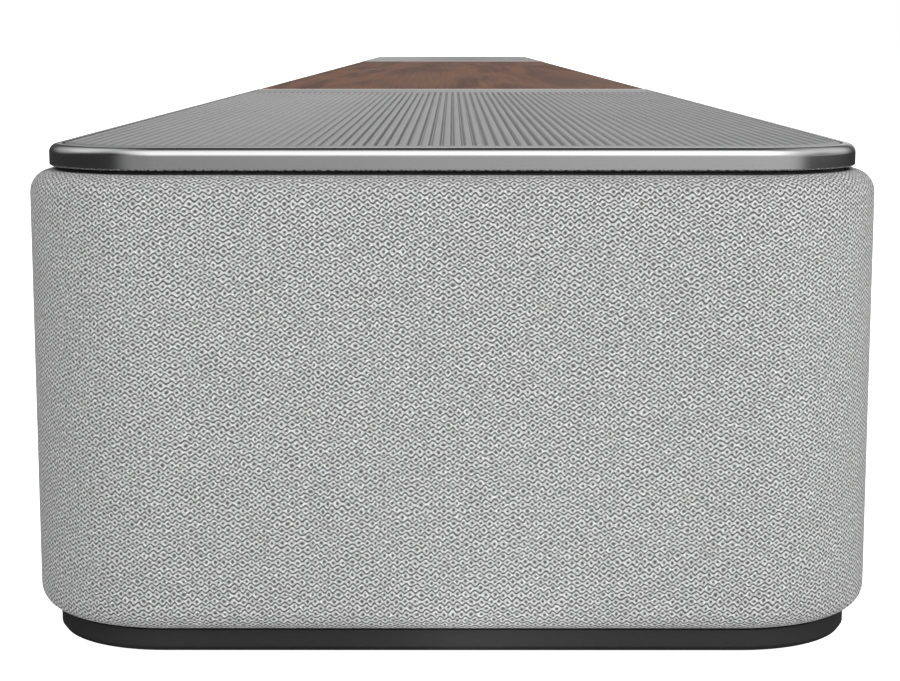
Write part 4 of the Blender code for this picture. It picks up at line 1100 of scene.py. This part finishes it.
@dataclass
class Buttons:
    """Four round push buttons through the wood, each with a plain engraved mark."""

    names: tuple[str, ...] = ("power_button", "source_button", "volume_down_button",
                              "volume_up_button")
    cap_radius: float = 4.6 * MM
    flange_radius: float = 5.7 * MM
    stem_radius: float = 1.6 * MM
    flange: float = 0.9 * MM
    dish: float = 0.25 * MM
    soft: float = 0.35 * MM
    sides: int = 64
    sign: float = 1.5 * MM
    stroke: float = 0.2 * MM

    def holes(self, name: str, clearance: float) -> list[Object]:
        """Round cutters at the buttons' places, a clearance wider than their flanges.

        Args:
            name: the cutters' name.
            clearance: added to the flange's radius.

        Returns:
            One cutter for each button.
        """
        made = []
        for node in self.names:
            low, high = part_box(node)
            made.append(rod(
                name, (low + high) / 2, self.flange_radius + clearance, low.z, high.z + 5 * MM,
                self.sides))
        return made

    def build(self) -> None:
        """Makes each cap with its stem, and its mark on its dished top."""
        for node in self.names:
            low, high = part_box(node)
            x, y = (low.x + high.x) / 2, (low.y + high.y) / 2
            wood_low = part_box("wood_panel")[0].z
            flange_top = wood_low - FIT_GAP
            soft, rim = self.soft, self.cap_radius
            profile = [
                (0, low.z), (self.stem_radius - 0.2 * MM, low.z),
                (self.stem_radius, low.z + 0.2 * MM),
                (self.stem_radius, flange_top - self.flange),
                (self.flange_radius, flange_top - self.flange), (self.flange_radius, flange_top),
                (rim, flange_top)]
            profile += arc((rim - soft, high.z - soft), soft, 0, 90, 5)
            dish = rim - 2.2 * soft
            profile += [(dish, high.z - 0.35 * self.dish), (0.6 * dish, high.z - 0.8 * self.dish),
                        (0.3 * dish, high.z - 0.96 * self.dish), (0, high.z - self.dish)]
            cap = lathe(node + "_cap", profile, self.sides, (x, y, 0))
            hand_over(cap, CAP_METAL, (node,), node)
            mark = joined(node + "_mark", self.mark(node, Vector((x, y, high.z))))
            hand_over(mark, INK, (), node)

    def mark(self, node: str, top: Vector) -> list[Object]:
        """The plain sign on a cap: a ring, a frame, a dash or a cross.

        Args:
            node: the button.
            top: the middle of its top.

        Returns:
            The sign's bodies.
        """
        low, high = top.z - self.dish - 0.1 * MM, top.z - 0.35 * self.dish
        long, thin = self.sign, self.stroke

        def bar(half_x: float, half_y: float, dx: float = 0.0, dy: float = 0.0) -> Object:
            """One bar of a sign."""
            return block(
                "bar", (top.x + dx - half_x, top.y + dy - half_y, low),
                (top.x + dx + half_x, top.y + dy + half_y, high))

        if node.startswith("power"):
            ring = [(long - thin, low), (long + thin, low), (long + thin, high),
                    (long - thin, high)]
            return [lathe("ring", ring, 48, (top.x, top.y, 0))]
        if node.startswith("source"):
            half = long - thin
            return [bar(half + thin, thin, 0, half), bar(half + thin, thin, 0, -half),
                    bar(thin, half - 1.05 * thin, half), bar(thin, half - 1.05 * thin, -half)]
        if node.startswith("volume_down"):
            return [bar(long, thin)]
        arm = (long - 1.05 * thin) / 2
        return [bar(long, thin), bar(thin, arm, 0, thin * 1.05 + arm),
                bar(thin, arm, 0, -thin * 1.05 - arm)]


# ------------------------------------------------------------------ body


@dataclass
class FabricSleeve:
    """Knitted sleeve stretched round the front and the ends, and turned in above and below."""

    corner: float = 21.0 * MM
    top_fillet: float = 3.3 * MM
    bottom_fillet: float = 3.2 * MM
    top_lip: float = 4.3 * MM
    bottom_lip: float = 8.0 * MM
    thickness: float = 0.65 * MM
    slack: float = 0.35 * MM
    corner_steps: int = 24
    fillet_steps: int = 8
    wall_rows: int = 6
    straight_step: float = 24 * MM

    def stations(self) -> list[tuple[Vector, Vector, float]]:
        """Points round the plan from one rear seam to the other.

        Returns:
            Each point's place, outward direction and distance along the cloth.
        """
        low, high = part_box("fabric_sleeve")
        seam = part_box("rear_cover")[1].x + FIT_GAP
        half_x, half_y, radius = high.x - self.slack, high.y - self.slack, self.corner
        corners = ((1, 1, 90, 0), (1, -1, 0, -90), (-1, -1, -90, -180), (-1, 1, 180, 90))
        path: list[tuple[Vector, Vector]] = [(Vector((seam, half_y)), Vector((0, 1)))]
        for side_x, side_y, start, end in corners:
            centre = Vector((side_x * (half_x - radius), side_y * (half_y - radius)))
            for step in range(self.corner_steps + 1):
                angle = math.radians(start + (end - start) * step / self.corner_steps)
                way = Vector((math.cos(angle), math.sin(angle)))
                path.append((centre + radius * way, way))
        path.append((Vector((-seam, half_y)), Vector((0, 1))))
        made = [(path[0][0], path[0][1], 0.0)]
        for (point, _), (after, way) in zip(path, path[1:]):
            run = (after - point).length
            pieces = max(1, round(run / self.straight_step))
            travelled = made[-1][2]
            for piece in range(1, pieces + 1):
                share = piece / pieces
                made.append((point.lerp(after, share), way, travelled + run * share))
        return made

    def section(self) -> list[tuple[float, float]]:
        """The cloth's section from its bottom edge to its top edge, as (inset, height)."""
        low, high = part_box("fabric_sleeve")
        points = [(self.bottom_lip, low.z), (0.5 * (self.bottom_lip + self.bottom_fillet), low.z)]
        points += arc(
            (self.bottom_fillet, low.z + self.bottom_fillet), self.bottom_fillet, 270, 180,
            self.fillet_steps)
        wall = high.z - self.top_fillet - low.z - self.bottom_fillet
        points += [
            (0.0, low.z + self.bottom_fillet + wall * row / self.wall_rows)
            for row in range(1, self.wall_rows)]
        points += arc(
            (self.top_fillet, high.z - self.top_fillet), self.top_fillet, 180, 90,
            self.fillet_steps)
        points.append((self.top_lip, high.z))
        return points

    def build(self) -> Object:
        section = self.section()
        along = [0.0]
        for (inset, z), (next_inset, next_z) in zip(section, section[1:]):
            along.append(along[-1] + math.hypot(next_inset - inset, next_z - z))
        stations = self.stations()
        bm = bmesh.new()
        uv = bm.loops.layers.uv.new("cloth")
        grid = []
        for point, way, _ in stations:
            grid.append([
                bm.verts.new((point.x - way.x * inset, point.y - way.y * inset, z))
                for inset, z in section])
        for column in range(len(grid) - 1):
            for row in range(len(section) - 1):
                corners = ((column, row), (column, row + 1), (column + 1, row + 1),
                           (column + 1, row))
                face = bm.faces.new([grid[i][j] for i, j in corners])
                for loop, (i, j) in zip(face.loops, corners):
                    loop[uv].uv = (stations[i][2], along[j])
        mesh = bpy.data.meshes.new("knitted_sleeve")
        bm.to_mesh(mesh)
        bm.free()
        mesh.shade_smooth()
        sleeve = add_object("knitted_sleeve", mesh)
        wall = sleeve.modifiers.new("thickness", "SOLIDIFY")
        wall.thickness = self.thickness
        wall.offset = -1
        wall.use_even_offset = True
        settle(sleeve)
        hand_over(sleeve, KNIT, ("fabric_sleeve",))
        return sleeve


@dataclass
class Base:
    """The black base set in under the cloth, and the four rubber feet."""

    corner: float = 17.7 * MM
    chamfer: float = 0.5 * MM
    foot_sides: int = 56
    foot_neck: float = 7.0 * MM
    foot_soft: float = 0.7 * MM
    foot_groove: float = 0.4 * MM
    pocket_sides: int = 48
    screw_head: float = 2.9 * MM
    screw_rise: float = 1.4 * MM
    screw_count: int = 6
    screw_sides: int = 32
    screw_rows: float = 0.62
    screw_end: float = 60 * MM
    screw_gap: float = 0.02 * MM

    def build_tray(self) -> Object:
        """The tray, with its lower edge chamfered and a pocket for each foot."""
        low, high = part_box("base_tray")
        levels = [(self.chamfer, low.z), (0.3 * self.chamfer, low.z + self.chamfer),
                  (0.0, low.z + 1.4 * self.chamfer), (0.0, high.z)]
        tray = stacked("base_shell", levels, lambda inset: rounded_outline(
            high.x - inset, high.y - inset, self.corner - inset))
        pockets = []
        for name in self.foot_names():
            foot_low, foot_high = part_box(name)
            pockets.append(rod(
                "pocket", (foot_low + foot_high) / 2, self.foot_neck + FIT_GAP, low.z - 2 * MM,
                foot_high.z + FIT_GAP, self.pocket_sides))
        return hand_over(weight_normals(carve(tray, pockets)), ABS, ("base_tray",))

    def build_screws(self) -> None:
        """Two rows of pan-head screws with a cross recess, which hold the tray from below."""
        low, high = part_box("base_tray")
        head, dome = self.screw_head, 0.35 * self.screw_rise
        for row, across in enumerate((-self.screw_rows * high.y, self.screw_rows * high.y)):
            profile = [(0, -self.screw_rise)]
            profile += [
                (head * share, -self.screw_rise + dome * share**2) for share in (0.4, 0.7, 0.9)]
            profile += [(head, -0.55 * self.screw_rise), (head, -self.screw_gap),
                        (0, -self.screw_gap)]
            screw = lathe(f"tray_screws_{row}", profile[::-1], self.screw_sides)
            arms = [block(
                "arm", (-reach, -side, -self.screw_rise - 1 * MM),
                (reach, side, -0.4 * self.screw_rise))
                for reach, side in ((0.55 * head, 0.11 * head), (0.11 * head, 0.55 * head))]
            carve(screw, arms)
            SCREWS.apply(
                screw, BLACK_STEEL, Count=self.screw_count,
                Pitch=2 * (high.x - self.screw_end) / (self.screw_count - 1), Across=across,
                Height=low.z)
            hand_over(screw, BLACK_STEEL)

    @staticmethod
    def foot_names() -> list[str]:
        """The names of the four feet."""
        return [f"foot_{end}_{side}" for end in ("front", "rear") for side in ("left", "right")]

    def build_feet(self) -> None:
        """Turned feet with a soft edge and two shallow rings in the sole."""
        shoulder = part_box("base_tray")[0].z - FIT_GAP
        for name in self.foot_names():
            low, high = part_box(name)
            middle = (low + high) / 2
            radius = (high.x - low.x) / 2
            soft, groove = self.foot_soft, self.foot_groove
            profile = [(0, groove), (2.4 * MM, groove), (2.7 * MM, 0), (4.6 * MM, 0),
                       (4.9 * MM, groove), (5.6 * MM, groove), (5.9 * MM, 0)]
            profile += arc((radius - soft, soft), soft, 270, 360, 6)
            profile += [(radius, shoulder - 0.2 * MM), (radius - 0.2 * MM, shoulder),
                        (self.foot_neck, shoulder), (self.foot_neck, high.z), (0, high.z)]
            foot = lathe(name + "_pad", profile, self.foot_sides, (middle.x, middle.y, 0))
            hand_over(foot, RUBBER, (name,))


# ------------------------------------------------------------------ studio


@dataclass
class Studio:
    """Floor, soft light and the camera at the bar's right end."""

    floor_half: float = 9.0
    gap: float = 283.6 * MM
    over_top: float = 15.34 * MM
    pitch: float = 8.535
    yaw: float = 0.0635
    lens: float = 80.76
    sensor: float = 36.0
    mirrored: tuple[Lamp, ...] = (
        *END_LAMPS,
        Lamp((0.55, 0.06, 0.83), 47, 6, 1.9),
        Lamp((0.40, 0.45, 0.60), 40, 10, 0.8),
        Lamp((-1.0, 0.1, 0.03), 24, 7, 0.7),
        Lamp((-0.1, 0.9, 0.3), 50, 20, 0.4),
        Lamp((-0.40, -0.70, 0.60), 36, 12, 0.6),
        Lamp((-0.40, 0.70, 0.60), 36, 12, 0.6),
        Lamp((-0.1, -0.64, 0.77), 34, 12, 0.6),
    )
    cast: tuple[Lamp, ...] = (
        Lamp((0.9, 0.12, 0.38), 68, 25, 2.0),
        Lamp((0.3, 0.9, 0.35), 70, 25, 0.62),
        Lamp((-0.87, -0.49, 0.22), 54, 20, 1.2),
    )
    dim: tuple[float, float] = (0.05, 0.12)

    def build_floor(self) -> None:
        """A plain white floor."""
        bm = bmesh.new()
        bmesh.ops.create_grid(bm, x_segments=1, y_segments=1, size=self.floor_half)
        floor = object_from("paper_floor", bm, outward=False)
        floor.data.materials.append(SWEEP.material())

    def build_light(self) -> None:
        """A soft sky: cast lamps light the matt pieces, and the others are mirrored in metal."""
        world = bpy.data.worlds.new("studio")
        bpy.context.scene.world = world
        world.use_nodes = True
        tree = world.node_tree
        new = partial(add_node, tree)
        way = new("ShaderNodeTexCoord").outputs["Generated"]
        path = new("ShaderNodeLightPath").outputs
        light = new(
            "ShaderNodeMix",
            {0: path["Is Glossy Ray"], 2: Lamp.total(tree, way, self.cast, self.dim[1]),
             3: Lamp.total(tree, way, self.mirrored, self.dim[0])}, data_type="FLOAT")
        strength = new(
            "ShaderNodeMix", {0: path["Is Camera Ray"], 2: light, 3: 1.0}, data_type="FLOAT")
        feed(tree, tree.nodes["Background"], {"Strength": strength, "Color": (1, 1, 1, 1)})
        bpy.context.scene.view_settings.view_transform = "Standard"

    def build_camera(self) -> None:
        """A long lens close to the bar's end, looking along it and slightly down."""
        low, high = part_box("top_trim")
        data = bpy.data.cameras.new("camera")
        data.sensor_width = self.sensor
        data.lens = self.lens
        data.clip_start = 0.01
        data.clip_end = 60
        camera = bpy.data.objects.new("camera", data)
        bpy.context.scene.collection.objects.link(camera)
        camera.location = (high.x + self.gap, 0, high.z + self.over_top)
        camera.rotation_euler = (
            math.radians(90 - self.pitch), 0, math.radians(90 + self.yaw))
        bpy.context.scene.camera = camera

    def build(self) -> None:
        """Sets the camera, the light and the floor."""
        self.build_camera()
        self.build_light()
        self.build_floor()


def dress_kept_nodes() -> None:
    """Gives every CAD node that stays visible its finish."""
    finishes = {
        "cabinet": INNER_ABS, "front_baffle": INNER_ABS, "top_deck": ABS,
        "grille_frame": INNER_ABS, "rear_cover": ABS, "io_plate": ABS, "power_inlet": ABS,
        "hdmi_socket_1": PLATED_STEEL, "hdmi_socket_2": PLATED_STEEL, "usb_socket": PLATED_STEEL,
        "optical_socket": INNER_ABS, "subwoofer_socket": PLATED_STEEL,
        "bracket_insert_left": BRASS, "bracket_insert_right": BRASS,
        "horn_tweeter": INNER_ABS, "main_board": BOARD, "power_supply": BOARD,
        "wifi_antenna": BOARD, "button_board": BOARD, "heat_sink": EXTRUSION,
        "display_module": ACRYLIC}
    for name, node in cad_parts.items():
        finish = finishes.get(name)
        if name.endswith("_cone"):
            finish = PAPER
        elif name.endswith("_basket"):
            finish = PLATED_STEEL
        if finish:
            for slot in node.material_slots:
                slot.material = finish.material()


def main() -> None:
    """Builds the studio and then each sub-assembly in order."""
    logging.basicConfig(level=logging.INFO, format="%(name)s: %(message)s")
    Studio().build()
    dress_kept_nodes()
    buttons = Buttons()
    top = MetalTop()
    top.build_rim(buttons.holes)
    for side, node in ((-1, "top_grille_left"), (1, "top_grille_right")):
        top.build_grille(side, node)
    WoodPanel().build(buttons.holes)
    buttons.build()
    FabricSleeve().build()
    base = Base()
    base.build_tray()
    base.build_feet()
    base.build_screws()


if __name__ == "__main__":
    main()
